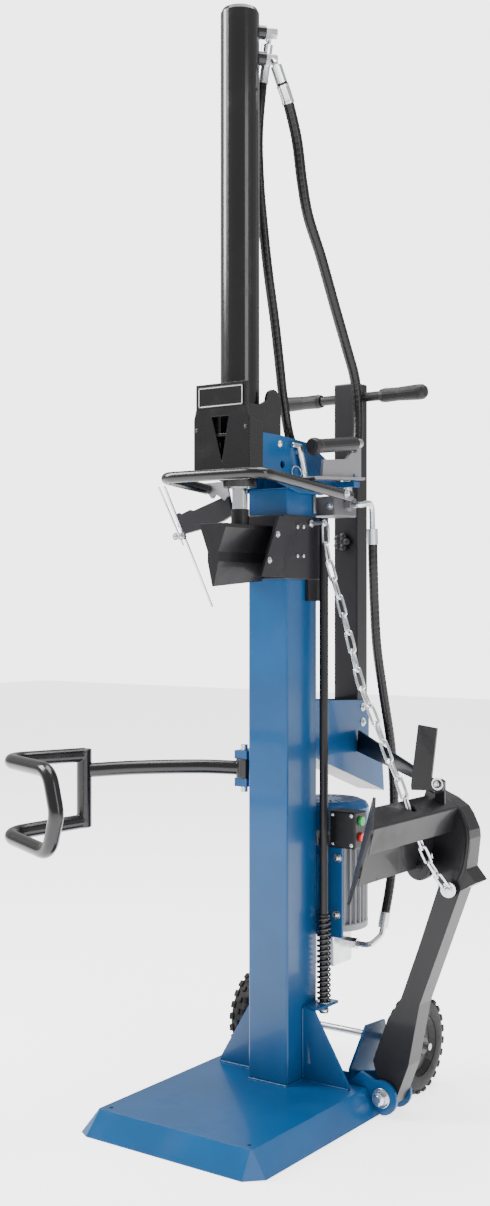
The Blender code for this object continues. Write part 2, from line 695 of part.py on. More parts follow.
def rear_frame():
    """Post behind the motor, the bracket that carries it, and the handle bar through its top."""
    outline = [
        (COLUMN_BACK + 0.0008, 0.857), (0.460, 0.845), (0.460, 0.742), (0.521, 0.712), (0.530, 0.629),
        (COLUMN_BACK + 0.0008, 0.737),
    ]
    bracket_solid = plate("rear_bracket", "X", outline, -0.0355, 0.0355, BLUE)
    inside = [
        (COLUMN_BACK + 0.005, 0.900), (0.560, 0.900), (0.560, 0.6245), (COLUMN_BACK + 0.005, 0.7413),
    ]
    cut(bracket_solid, plate("bracket_inside", "X", inside, -0.0315, 0.0315, BLUE))
    high = (POST_HALF, POST_BACK, POST_TOP)
    post = box("rear_post", (-POST_HALF, POST_FRONT, 0.700), high, BLACK, 0.003)
    wall = 0.003
    low = (-POST_HALF + wall, POST_FRONT + wall, 0.60)
    high = (POST_HALF - wall, POST_BACK - wall, POST_TOP - wall)
    hollow = box("post_hollow", low, high, BLACK)
    bar_hole = rod("bar_hole", (-0.05, HANDLE_Y, HANDLE_Z), (0.05, HANDLE_Y, HANDLE_Z), 0.0113, BLACK, 20)
    cut(post, hollow, bar_hole)
    reach = HANDLE_REACH - 0.006
    rod("handle_bar", (-reach, HANDLE_Y, HANDLE_Z), (reach, HANDLE_Y, HANDLE_Z), 0.011, BLACK, 20)
    bore = 0.0113
    length = 0.115
    profile = [
        (bore, length), (0.0145, length), (0.0165, length - 0.010), (0.0155, length - 0.045),
        (0.0178, 0.020),
        (0.0170, 0.008), (0.012, 0.001), (0.0, 0.0), (0.0, 0.0055), (bore, 0.0055),
    ]
    for side, sign in (("right", 1), ("left", -1)):
        turned("handle_grip_" + side, profile + profile[:1], (sign * HANDLE_REACH, HANDLE_Y, HANDLE_Z),
               (-sign, 0, 0), PLASTIC, 20)


def motor():
    """Finned electric motor on its plate, with the fan, the rotor, the switch box and the pump below."""
    centre = (0.0, MOTOR_Y)
    height = MOTOR_HIGH - MOTOR_LOW
    shell = [
        (MOTOR_RADIUS, height), (MOTOR_RADIUS, 0.0), (0.012, 0.0), (0.012, 0.012), (0.066, 0.012),
        (0.066, height),
    ]
    turned("motor_housing", shell + shell[:1], (*centre, MOTOR_LOW), (0, 0, 1), ALUMINIUM)
    cover = [
        (0.0, 0.058), (0.070, 0.058), (0.084, 0.052), (0.090, 0.042), (0.090, 0.0), (0.0875, 0.0),
        (0.0875, 0.041), (0.082, 0.049), (0.069, 0.0555), (0.0, 0.0555),
    ]
    turned("fan_cover", cover, (*centre, MOTOR_HIGH + FIT), (0, 0, 1), BLUE)
    shaft = rod("motor_rotor", (*centre, 0.3395), (*centre, MOTOR_HIGH + 0.020), 0.0110, STEEL, 24)
    core_low = (*centre, MOTOR_LOW + 0.030)
    core_high = (*centre, MOTOR_HIGH - 0.035)
    join(shaft, rod("rotor_core", core_low, core_high, 0.058, STEEL, 32))
    hub_low = (*centre, MOTOR_HIGH + 0.012)
    fan_top = MOTOR_HIGH + 0.034
    join(shaft, rod("fan_hub", hub_low, (*centre, fan_top), 0.024, PLASTIC, 24))
    for index in range(8):
        blade_low = (0.020, -0.0012, MOTOR_HIGH + 0.016)
        blade = box("fan_blade", blade_low, (0.074, 0.0012, fan_top), PLASTIC)
        turn = Matrix.Rotation(2 * math.pi * index / 8, 4, "Z")
        blade.matrix_world = Matrix.Translation((*centre, 0.0)) @ turn @ Matrix.Translation(blade.location)
        join(shaft, blade)
    mount = box("motor_plate", (-0.098, 0.2405, 0.345), (0.0985, 0.2465, 0.5400), BLUE, 0.0015)
    spacer_low = (-BRACKET_HALF, COLUMN_BACK + FIT, 0.400)
    spacer = box("plate_spacer", spacer_low, (BRACKET_HALF, 0.2410, 0.520), BLUE)
    join(mount, spacer)
    case = box("switch_box", (0.0708, 0.231, 0.541), (0.136, 0.2795, 0.620), PLASTIC, 0.003)
    buttons = []
    for name, z, material in (("start_button", 0.600, GREEN), ("stop_button", 0.565, RED)):
        y = 0.255
        cut(case, rod(name + "_room", (0.131, y, z), (0.150, y, z), 0.0103, PLASTIC, 24))
        buttons.append(rod(name, (0.1343, y, z), (0.1420, y, z), 0.0098, material, 24))
    pump = box("pump", (-0.036, 0.305, 0.262), (0.036, 0.384, 0.3385), ZINC, 0.003)
    join(pump, rod("pump_union", (0.034, 0.372, 0.303), (0.058, 0.372, 0.303), 0.0125, ZINC, 6))
    cut(pump, rod("shaft_socket", (*centre, 0.325), (*centre, 0.350), 0.0112, ZINC, 24))
    tip, ahead = hose_end(HOSE_PRESSURE, last=True)
    bend = tip - ahead * 0.050
    route = rounded_route([(0.0583, 0.372, 0.303), (0.0900, 0.372, 0.303), bend, tip], 0.022)
    pipe_with_sleeve("pump_elbow", route, tip, ahead)
    return [shaft], buttons


def hoses():
    """The two cylinder hoses and the pump's pressure hose."""
    tube("hose_extend", smooth_route(HOSE_EXTEND, HOSE_STEP), 0.0115, RUBBER)
    tube("hose_retract", smooth_route(HOSE_RETRACT, HOSE_STEP), 0.0105, RUBBER)
    tube("hose_pressure", smooth_route(HOSE_PRESSURE, HOSE_STEP), 0.0105, RUBBER)


def stroke_rod():
    """Stroke rod beside the column with the coil spring that returns it."""
    x, y = STROKE_ROD
    bar = rod("stroke_rod", (x, y, 0.190), (x, y, 1.2500), 0.0095, BLACK, 20)
    join(bar, rod("spring_collar", (x, y, 0.3962), (x, y, 0.4010), 0.0130, BLACK, 20))
    turns = 16
    wire = 0.0022
    radius = 0.0135
    low = 0.2147
    high = 0.3935
    points = []
    per_turn = 8
    for step in range(turns * per_turn + 1):
        share = step / (turns * per_turn)
        angle = 2 * math.pi * turns * share
        place = (x + radius * math.cos(angle), y + radius * math.sin(angle), low + (high - low) * share)
        points.append(place)
    tube("stroke_spring", points, wire, BLACK, 0)
    return [bar]


def wheels():
    """Axle, its two brackets, and a pair of wheels with knobbly tyres."""
    bracket_outline = [
        (0.2358, 0.004), (0.2358, 0.070), (0.304, 0.147), (0.3825, 0.142), (0.391, 0.104), (0.343, 0.006),
        (0.335, 0.004),
    ]
    rolling = []
    rod("axle", (-0.242, AXLE_Y, AXLE_Z), (0.242, AXLE_Y, AXLE_Z), AXLE_RADIUS, STEEL, 20)
    for side, sign in (("right", 1), ("left", -1)):
        low, high = sorted((sign * 0.117, sign * 0.123))
        holder = plate("axle_bracket_" + side, "X", bracket_outline, low, high, BLUE)
        low, high = sorted((sign * 0.092, sign * 0.122))
        join(holder, box("bracket_fold_" + side, (low, 0.2358, 0.010), (high, 0.2410, 0.062), BLUE))
        inner_end = (sign * 0.10, AXLE_Y, AXLE_Z)
        outer_end = (sign * 0.14, AXLE_Y, AXLE_Z)
        cut(holder, rod("axle_hole_" + side, inner_end, outer_end, AXLE_RADIUS + FIT, BLUE, 20))
        rim_profile = [
            (0.018, 0.026), (0.028, 0.010), (0.056, 0.008), (0.066, 0.018), (0.066, -0.018), (0.056, 0.0),
            (0.028, 0.001), (0.018, -0.026), (AXLE_RADIUS + FIT, -0.026), (AXLE_RADIUS + FIT, 0.026),
        ]
        place = (sign * WHEEL_X, AXLE_Y, AXLE_Z)
        rim = turned("rim_" + side, rim_profile + rim_profile[:1], place, (sign, 0, 0), PLASTIC, 24)
        inner = 0.0663
        tyre_profile = [
            (WHEEL_RADIUS - 0.006, TYRE_HALF), (WHEEL_RADIUS, TYRE_HALF - 0.006),
            (WHEEL_RADIUS, -TYRE_HALF + 0.006), (WHEEL_RADIUS - 0.006, -TYRE_HALF),
            (inner, -TYRE_HALF + 0.002), (inner, TYRE_HALF - 0.002),
        ]
        tyre = turned("tyre_" + side, tyre_profile + tyre_profile[:1], place, (sign, 0, 0), TYRE, 40)
        rolling.append((side, place, [rim, tyre]))
    return rolling


def hinge():
    """The two ears on the base's right side and the bolt through them."""
    round_end = arc((HINGE_X, HINGE_Z), 0.036, -90, 115, 12)
    front = plate("hinge_ear", "Y", round_end + [(0.172, 0.086), (0.140, 0.056)], *EAR_FRONT, BLUE)
    skirt = [
        (0.100, BASE_TOP + FIT), (BASE_DECK[3][0] + 0.0006, BASE_TOP + FIT),
        (BASE_FLOOR[3][0] + 0.0007, 0.0), (BASE_FLOOR[3][0] + 0.0007, -0.020), (0.100, -0.020),
    ]
    cut(front, plate("ear_skirt", "Y", skirt, 0.15, 0.25, BLUE))
    rear_end = [(0.170, 0.070), (0.120, 0.060), (0.120, 0.030)]
    rear = plate("ear_rear", "Y", round_end + rear_end, *EAR_REAR, BLUE)
    join(bpy.data.objects["axle_bracket_right"], rear)
    for ear in (front, bpy.data.objects["axle_bracket_right"]):
        cut(ear, rod("ear_hole", (HINGE_X, 0.15, HINGE_Z), (HINGE_X, 0.30, HINGE_Z), 0.0103, BLUE, 24))
    bolt = rod("hinge_bolt", (HINGE_X, 0.1890, HINGE_Z), (HINGE_X, 0.2630, HINGE_Z), 0.0100, ZINC, 24)
    join(bolt, rod("bolt_head", (HINGE_X, 0.1800, HINGE_Z), (HINGE_X, 0.1932, HINGE_Z), 0.0170, ZINC, 6))
    join(bolt, rod("bolt_nut", (HINGE_X, 0.2621, HINGE_Z), (HINGE_X, 0.2660, HINGE_Z), 0.0170, ZINC, 6))


def lifter():
    """Swing-down log lifter: arm on the base hinge, channel beam on top with its pointed claw."""
    outline = arc((HINGE_X, HINGE_Z), 0.022, 120, 290, 8)
    outline += [
        (0.2472, 0.0282), (0.2804, 0.1142), (0.3062, 0.2437), (0.3500, 0.3590), (0.3990, 0.4890),
        (0.4346, 0.5090), (0.4130, 0.5345), (0.4203, 0.5950), (0.4185, 0.6120), (0.4046, 0.6410),
        (0.3940, 0.6560), (0.3700, 0.6710), (0.3450, 0.6810), (0.3235, 0.6920), (0.3110, 0.6550),
        (0.3350, 0.5600), (0.3498, 0.4922), (0.3039, 0.3607), (0.2635, 0.2523), (0.2328, 0.2058),
        (0.1968, 0.1118),
    ]
    arm = plate("lifter_arm", "Y", outline, ARM_FRONT, ARM_BACK, BLACK)
    cut(arm, rod("arm_bore", (HINGE_X, 0.19, HINGE_Z), (HINGE_X, 0.28, HINGE_Z), 0.0104, BLACK, 24))
    hollow = [
        (0.2760, 0.2620), (0.3020, 0.2640), (0.3440, 0.3620), (0.3900, 0.4860), (0.3560, 0.4940),
        (0.3100, 0.3640),
    ]
    cut(arm, plate("arm_hollow", "Y", hollow, ARM_FRONT + 0.004, ARM_BACK + 0.01, BLACK))
    section = [
        (0.3840, 0.6080), (0.3940, 0.6550), (0.3925, 0.6595), (0.3525, 0.6840), (0.3490, 0.6825),
        (0.3270, 0.5370), (0.3320, 0.5363), (0.3540, 0.6765), (0.3885, 0.6555), (0.3790, 0.6090),
    ]
    beam = plate("lifter_beam", "Y", section, -0.150, ARM_FRONT - FIT, BLACK)
    join(beam, box("beam_end", (0.2850, -0.0160, 0.5370), (0.3330, -0.0110, 0.6600), BLACK))
    outer = Vector((0.3940, -0.1410, 0.6570))
    across = Vector((-0.5448, 0.8386, 0.0))
    up = Vector((0.1818, 0.1181, 0.9764))
    through = across.cross(up)
    corners = []
    claw_outline = [(0.0, 0.0), (0.1263, 0.0430), (0.1330, 0.0350), (0.1800, -0.1740), (0.1760, -0.1780)]
    for reach, rise in claw_outline:
        corners.append(outer + across * reach + up * rise)
    claw_plate = prism("lifter_claw", corners, through * 0.006, BLACK)
    room = []
    for reach, rise in ((-0.20, -0.30), (0.35, -0.30), (0.35, 0.20), (-0.20, 0.20)):
        room.append(outer + across * reach + up * rise + through * (0.006 + FIT))
    cut(beam, prism("beam_slant", room, through * -0.12, BLACK))
    chain_hole = rod("chain_hole", (0.3660, 0.0480, 0.6500), (0.3660, 0.0480, 0.7200), 0.0160, BLACK, 20)
    cut(beam, chain_hole)
    x, z = LOCK_PIVOT
    lug = [
        (x - 0.010, 0.6640), (x + 0.012, 0.6640), (x + 0.012, z + 0.006), (x + 0.004, z + 0.010),
        (x - 0.008, z + 0.008),
    ]
    join(beam, plate("lock_lug", "Y", lug, 0.1665, 0.1725, BLACK))
    join(beam, rod("lock_pin", (x, 0.1570, z), (x, 0.1700, z), 0.0040, BLACK, 16))
    join(beam, rod("lock_pin_head", (x, 0.1545, z), (x, 0.1595, z), 0.0080, BLACK, 16))
    return [arm, beam, claw_plate]


def lock_lever():
    """Flat hand lever that locks the lifter upright, on the pin in front of the beam's lug."""
    flag = [
        (0.3266, 0.8228), (0.3688, 0.8177), (0.3560, 0.7160), (0.3800, 0.7165), (0.3840, 0.7120),
        (0.3820, 0.6935), (0.3110, 0.6900), (0.3100, 0.7000),
    ]
    lever = plate("lock_lever", "Y", flag, 0.1600, 0.1660, BLACK)
    x, z = LOCK_PIVOT
    return [cut(lever, rod("lock_bore", (x, 0.15, z), (x, 0.18, z), 0.0046, BLACK, 16))]


def catch_bow():
    """Bent-tube bow on the left that swings round the log, and the hinge it turns on."""
    pivot = (-0.082, 0.130)
    clevis = box("catch_hinge", (-0.098, 0.116, 0.672), (-0.066, 0.2285, 0.750), BLUE)
    join(clevis, box("hinge_strap", (-0.096, 0.2225, 0.674), (BRACKET_HALF, 0.2285, 0.730), BLUE))
    root_low = (-BRACKET_HALF, COLUMN_BACK + FIT, 0.674)
    root = box("hinge_root", root_low, (BRACKET_HALF, 0.2240, 0.730), BLUE)
    join(clevis, root)
    cut(clevis, box("clevis_gap", (-0.110, 0.100, 0.690), (-0.060, 0.172, 0.732), BLUE))
    cut(clevis, rod("clevis_hole", (*pivot, 0.66), (*pivot, 0.76), 0.0083, BLUE, 20))
    rod("catch_pin", (*pivot, 0.660), (*pivot, 0.762), 0.008, ZINC, 20)
    back = Vector((-0.348, -0.089, 0.0))
    top, low = 0.742, 0.600
    arm_points = [
        (pivot[0] - 0.014, pivot[1] - 0.004, 0.711), (-0.160, 0.066, 0.715), (-0.260, -0.018, 0.714),
        (back.x + 0.010, back.y + 0.008, 0.709),
    ]
    arm = mesh_of(tube("catch_arm", smooth_route(arm_points, 0.040), 0.0155, BLACK, 3))
    keep(arm, "catch_bow", BLACK)
    sleeve = rod("catch_sleeve", (*pivot, 0.6905), (*pivot, 0.7315), 0.0180, BLACK, 24)
    upright_low = (back.x, back.y, low - 0.013)
    upright_high = (back.x, back.y, top + 0.013)
    upright = rod("catch_upright", upright_low, upright_high, 0.0162, BLACK, 20)
    loop_corners = [
        (back.x, back.y, top), (-0.412, -0.262, top), (-0.235, -0.318, top - 0.004),
        (-0.205, -0.328, 0.655), (-0.235, -0.318, 0.574), (-0.412, -0.262, low - 0.012),
        (back.x, back.y, low),
    ]
    loop = mesh_of(tube("catch_loop", rounded_route(loop_corners, 0.045), 0.0157, BLACK, 3))
    join(arm, sleeve, upright, loop)
    cut(arm, rod("catch_bore", (*pivot, 0.66), (*pivot, 0.76), 0.0083, BLACK, 20))
    return pivot, arm


def chain():
    """Lifting chain as one slim solid, from the hook under the head to the lifter's beam."""
    return [tube("lift_chain", smooth_route(CHAIN_ROUTE, 0.03), 0.0100, ZINC, 2)]


start_empty()
base()
column()
head()
valve()
cylinder_things = cylinder()
hoses()
motor_things, button_things = motor()
rear_frame()
rod_things = stroke_rod()
wheel_sets = wheels()
hinge()
lifter_things = lifter()
control_bow()
bow_pivot, bow = catch_bow()
hang_on("cylinder_slide", (0, 0, TUBE_BOTTOM), cylinder_things)
hang_on("carriage_slide", (0, 0, CARRIAGE_LOW), slider())
hang_on("pin_slide", (0.084, 0.118, 1.386), locking_pin())
for lever_side, lever_sign in (("right", 1), ("left", -1)):
    lever_things = controls(lever_side, lever_sign)
    if lever_sign < 0:
        toothed_stop, claw = left_claw()
        join(lever_things[0], toothed_stop)
        lever_things.append(claw)
    hang_on("lever_hinge_" + lever_side, (lever_sign * LEVER_X, LEVER_PIVOT_Y, 1.331), lever_things)
hang_on("motor_spin", (0, MOTOR_Y, MOTOR_LOW), motor_things)
for button_thing in button_things:
    hang_on(button_thing.name + "_slide", button_thing.location, [button_thing])
hang_on("rod_slide", (*STROKE_ROD, 0.190), rod_things)
for wheel_side, wheel_place, wheel_things in wheel_sets:
    hang_on("wheel_hinge_" + wheel_side, wheel_place, wheel_things)
hang_on("lifter_hinge", (HINGE_X, LIFTER_Y, HINGE_Z), lifter_things)
hang_on("lock_hinge", (0.422, 0.263, 0.705), lock_lever())
hang_on("catch_turn", (*bow_pivot, 0.711), [bow])
hang_on("chain_swing", CHAIN_HOOK, chain())
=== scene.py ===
"""Looks of a stand-up log splitter with a carriage wedge, an electric pump set and a side log lifter.

It stands on z = 0 and its front faces -Y. Every length is in metres.
"""

import math

import bpy
from mathutils import Matrix, Vector


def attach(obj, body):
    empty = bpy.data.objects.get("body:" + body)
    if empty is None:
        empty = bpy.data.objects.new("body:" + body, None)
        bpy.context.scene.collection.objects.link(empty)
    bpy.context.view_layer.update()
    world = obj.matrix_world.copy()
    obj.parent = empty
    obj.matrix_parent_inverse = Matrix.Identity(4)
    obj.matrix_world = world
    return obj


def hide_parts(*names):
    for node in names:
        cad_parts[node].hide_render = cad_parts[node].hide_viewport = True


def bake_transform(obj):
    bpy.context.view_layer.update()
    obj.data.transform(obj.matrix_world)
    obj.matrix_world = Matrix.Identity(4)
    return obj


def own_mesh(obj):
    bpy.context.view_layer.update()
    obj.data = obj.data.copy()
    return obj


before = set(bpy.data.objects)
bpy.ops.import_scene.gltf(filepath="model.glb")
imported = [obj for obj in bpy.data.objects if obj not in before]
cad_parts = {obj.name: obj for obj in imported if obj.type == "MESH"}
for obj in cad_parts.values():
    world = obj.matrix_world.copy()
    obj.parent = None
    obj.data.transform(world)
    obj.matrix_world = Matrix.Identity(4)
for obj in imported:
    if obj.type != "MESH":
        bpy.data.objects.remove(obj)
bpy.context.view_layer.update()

# --- Studio: a camera at the machine's front right, a pale floor and three soft lights ---
# The floor is one seamless sheet, so the machine stands in plain, even light.
scene = bpy.context.scene
camera_data = bpy.data.cameras.new("camera")
camera_data.lens = 42.39
camera_data.sensor_width = 36.0
camera = bpy.data.objects.new("camera", camera_data)
camera.location = (1.7040, -2.3712, 1.068)
camera.rotation_euler = (math.radians(90), 0.0, math.radians(35.5))
scene.collection.objects.link(camera)
scene.camera = camera

bpy.ops.object.select_all(action="DESELECT")
bpy.ops.mesh.primitive_plane_add(size=24.0, location=(0.0, 0.0, -0.0005))
floor = bpy.context.object
floor.name = "studio_floor"
floor_paint = bpy.data.materials.new("studio_floor_paint")
floor_paint.use_nodes = True
floor_shader = floor_paint.node_tree.nodes["Principled BSDF"]
floor_shader.inputs["Base Color"].default_value = (0.92, 0.92, 0.92, 1.0)
floor_shader.inputs["Emission Color"].default_value = (1.0, 1.0, 1.0, 1.0)
floor_shader.inputs["Emission Strength"].default_value = 2.2
floor_shader.inputs["Roughness"].default_value = 0.75
floor.data.materials.append(floor_paint)


def soft_light(name, place, target, width, height, power):
    """A rectangular soft box that faces a point."""
    lamp = bpy.data.lights.new(name, "AREA")
    lamp.shape = "RECTANGLE"
    lamp.size = width
    lamp.size_y = height
    lamp.energy = power
    holder = bpy.data.objects.new(name, lamp)
    holder.location = place
    holder.rotation_euler = (Vector(target) - Vector(place)).to_track_quat("-Z", "Y").to_euler()
    scene.collection.objects.link(holder)


soft_light("key_light", (-2.7, -1.5, 3.5), (0.0, 0.0, 1.1), 1.4, 2.4, 250.0)
soft_light("side_light", (3.2, -0.6, 1.9), (0.1, 0.1, 1.0), 0.8, 2.6, 40.0)
soft_light("top_light", (0.0, 0.4, 4.2), (0.0, 0.1, 1.0), 2.4, 2.4, 170.0)
world = bpy.data.worlds.new("studio")
world.use_nodes = True
world.node_tree.nodes["Background"].inputs["Color"].default_value = (1.0, 1.0, 1.0, 1.0)
world.node_tree.nodes["Background"].inputs["Strength"].default_value = 0.75
seen = world.node_tree.nodes.new("ShaderNodeBackground")
seen.inputs["Strength"].default_value = 5.0
ray = world.node_tree.nodes.new("ShaderNodeLightPath")
either = world.node_tree.nodes.new("ShaderNodeMixShader")
world.node_tree.links.new(ray.outputs["Is Camera Ray"], either.inputs[0])
world.node_tree.links.new(world.node_tree.nodes["Background"].outputs[0], either.inputs[1])
world.node_tree.links.new(seen.outputs[0], either.inputs[2])
world.node_tree.links.new(either.outputs[0], world.node_tree.nodes["World Output"].inputs[0])
scene.world = world


# --- Hydraulic hoses: two down from the cylinder's ports to the valve, one up from the pump ---
# Each is a rubber hose under a black spiral guard, with a crimped steel sleeve at both ends.
# The upper sleeves of the two long ones ride with the cylinder, and their lower sleeves stay with the frame
# at the valve.
class Wire:
    """A socket in a material's nodes. Python's operators on it add Math nodes."""

    def __init__(self, tree, socket):
        self.tree = tree
        self.socket = socket

    def node(self, kind, sockets, settings=None, output=0):
        """Adds a node: its settings are set first, then the values or links of its sockets."""
        made = self.tree.nodes.new(kind)
        for setting, value in (settings or {}).items():
            if setting == "stops":
                ramp = made.color_ramp.elements
                while len(ramp) < len(value):
                    ramp.new(0.5)
                for stop, (place, grey) in zip(ramp, value):
                    stop.position = place
                    stop.color = (grey, grey, grey, 1.0)
            else:
                setattr(made, setting, value)
        for socket, value in sockets.items():
            if isinstance(value, Wire):
                self.tree.links.new(value.socket, made.inputs[socket])
            else:
                made.inputs[socket].default_value = value
        return Wire(self.tree, made.outputs[output])

    def maths(self, operation, first, second=0.0):
        return self.node("ShaderNodeMath", {0: first, 1: second}, {"operation": operation})

    def __add__(self, other):
        return self.maths("ADD", self, other)

    def __radd__(self, other):
        return self.maths("ADD", other, self)

    def __sub__(self, other):
        return self.maths("SUBTRACT", self, other)

    def __rsub__(self, other):
        return self.maths("SUBTRACT", other, self)

    def __mul__(self, other):
        return self.maths("MULTIPLY", self, other)

    def __rmul__(self, other):
        return self.maths("MULTIPLY", other, self)


def new_finish(name, **constants):
    """A material with its shader's constants set, and the wire of its Object coordinates."""
    material = bpy.data.materials.new(name)
    material.use_nodes = True
    tree = material.node_tree
    shader = tree.nodes["Principled BSDF"]
    for socket, value in constants.items():
        shader.inputs[socket.replace("_", " ")].default_value = value
    place = Wire(tree, tree.nodes.new("ShaderNodeTexCoord").outputs["Object"])
    return material, shader, place


def speckle(place, scale, detail=3.0, roughness=0.5):
    """Noise from 0 to 1, with that many cells to a metre."""
    return place.node("ShaderNodeTexNoise",
                      {"Vector": place, "Scale": scale, "Detail": detail, "Roughness": roughness})


def between(amount, low, high):
    """0 under low, 1 over high, and a smooth slope between them."""
    return amount.node("ShaderNodeMapRange", {"Value": amount, "From Min": low, "From Max": high},
                       {"interpolation_type": "SMOOTHSTEP"})


def mixed(factor, first, second):
    """A colour between two colours."""
    return factor.node("ShaderNodeMix", {0: factor, 6: first, 7: second}, {"data_type": "RGBA"}, 2)


def connect(shader, socket, wire):
    wire.tree.links.new(wire.socket, shader.inputs[socket])


def roughened(shader, place, height, distance, strength=1.0):
    """Feeds a height in metres times distance to the shader's normal."""
    bump = place.node("ShaderNodeBump", {"Height": height, "Distance": distance, "Strength": strength})
    connect(shader, "Normal", bump)


def rubber_finish(name, colour, rough, grain, depth):
    """Moulded rubber: a fine grain, with paler scuffs and a little grey dust."""
    material, shader, place = new_finish(name, Specular_IOR_Level=0.30)
    scuffs = between(speckle(place, 60.0, 6.0), 0.52, 0.72)
    dust = between(speckle(place, 9.0, 4.0), 0.45, 0.75)
    pale = tuple(channel * 2.0 + 0.002 for channel in colour)
    worn = mixed(scuffs * 0.35, (*colour, 1.0), (*pale, 1.0))
    connect(shader, "Base Color", mixed(dust * 0.12, worn, (0.04, 0.038, 0.036, 1.0)))
    connect(shader, "Roughness", scuffs * 0.12 + dust * 0.10 + rough)
    roughened(shader, place, speckle(place, grain, 3.0), depth)
    return material


def metal_finish(name, colour, rough, grain=420.0, depth=0.00005, tarnish=0.18):
    """Bare or plated steel: faint clouds of tarnish and a fine tumbled grain."""
    material, shader, place = new_finish(name, Metallic=1.0)
    cloud = between(speckle(place, 34.0, 5.0), 0.35, 0.75)
    spots = between(speckle(place, 240.0, 2.0), 0.60, 0.78)
    dull = tuple(channel * 0.62 for channel in colour)
    connect(shader, "Base Color", mixed(cloud * tarnish + spots * tarnish, (*colour, 1.0), (*dull, 1.0)))
    connect(shader, "Roughness", cloud * 0.10 + spots * 0.10 + rough)
    roughened(shader, place, speckle(place, grain, 2.0), depth)
    return material


HOSE_RUBBER = rubber_finish("hose_guard_rubber", (0.0045, 0.0042, 0.0050), 0.26, 900.0, 0.00004)
ZINC = metal_finish("zinc_plate", (0.62, 0.63, 0.65), 0.24)
VALVE_TOP = 1.2985
FIT = 0.0003


def smooth_route(points, spacing):
    """Evenly spaced points on a smooth curve through the points."""
    points = [Vector(point) for point in points]
    ends = [points[0] * 2 - points[1]] + points + [points[-1] * 2 - points[-2]]
    fine = []
    for a, b, c, d in zip(ends, ends[1:], ends[2:], ends[3:]):
        for step in range(20):
            t = step / 20
            fine.append(0.5 * (2 * b + (c - a) * t + (2 * a - 5 * b + 4 * c - d) * t * t
                               + (3 * b - a - 3 * c + d) * t ** 3))
    fine.append(points[-1])
    length = sum((q - p).length for p, q in zip(fine, fine[1:]))
    count = max(2, round(length / spacing))
    route = [fine[0]]
    walked = 0.0
    for p, q in zip(fine, fine[1:]):
        run = (q - p).length
        while len(route) < count and walked + run >= length * len(route) / count:
            route.append(p.lerp(q, (length * len(route) / count - walked) / run))
        walked += run
    return route + [fine[-1]]


def route_length(route):
    return sum((q - p).length for p, q in zip(route, route[1:]))


def finish_piece(piece, name, material, body, angle=35.0):
    """Names a finished mesh, smooths its rounds, gives it its finish and lets it ride on a body."""
    bpy.ops.object.select_all(action="DESELECT")
    bpy.context.view_layer.objects.active = piece
    piece.select_set(True)
    bpy.ops.object.transform_apply(location=True, rotation=True, scale=True)
    bpy.ops.object.shade_smooth_by_angle(angle=math.radians(angle))
    piece.name = name
    piece.data.name = name
    piece.data.materials.clear()
    piece.data.materials.append(material)
    if body:
        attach(piece, body)
    return piece


def sweep(route, radius_at, sides):
    """A closed round bar along a route, with its radius from the distance and the angle."""
    normal = (route[1] - route[0]).orthogonal().normalized()
    points = []
    walked = 0.0
    for index, here in enumerate(route):
        before = route[max(index - 1, 0)]
        after = route[min(index + 1, len(route) - 1)]
        along = (after - before).normalized()
        normal = (normal - along * normal.dot(along)).normalized()
        across = along.cross(normal)
        walked += (here - before).length
        for side in range(sides):
            angle = 2 * math.pi * side / sides
            spoke = normal * math.cos(angle) + across * math.sin(angle)
            points.append(here + spoke * radius_at(walked, angle))
    faces = []
    for ring in range(len(route) - 1):
        for side in range(sides):
            low = ring * sides + side
            next_low = ring * sides + (side + 1) % sides
            faces.append((low, next_low, next_low + sides, low + sides))
    faces.append(tuple(reversed(range(sides))))
    faces.append(tuple(range(len(points) - sides, len(points))))
    mesh = bpy.data.meshes.new("swept_bar")
    mesh.from_pydata([tuple(point) for point in points], [], faces)
    bar = bpy.data.objects.new("swept_bar", mesh)
    scene.collection.objects.link(bar)
    return bar


def guarded_hose(name, points, radius, pitch=0.0125):
    """A hose under a spiral guard: the guard's strip leaves a narrow groove at every turn."""
    route = smooth_route(points, 0.0022)

    def guard(walked, angle):
        turn = (walked / pitch - angle / (2 * math.pi)) % 1.0
        return radius * (0.955 if turn < 0.16 else 1.0)

    hose = sweep(route, guard, 20)
    finish_piece(hose, name, HOSE_RUBBER, None, 40.0)
    return hose, smooth_route(points, 0.010)


def ridged_sleeve(name, points, start, length, radius, body):
    """A crimped steel sleeve on a hose: flats pressed round it and a lip at each end."""
    route = smooth_route(points, 0.0015)
    walked = 0.0
    part = []
    for p, q in zip(route, route[1:]):
        walked += (q - p).length
        if start <= walked <= start + length:
            part.append(q)

    def crimp(along, angle):
        lip = 1.0 if along < 0.004 or along > length - 0.006 else 0.0
        flats = 0.94 + 0.06 * abs(math.cos(4 * angle))
        return radius * (1.0 if lip else flats * 0.97)

    sleeve = sweep(part, crimp, 32)
    return finish_piece(sleeve, name, ZINC, body, 30.0)


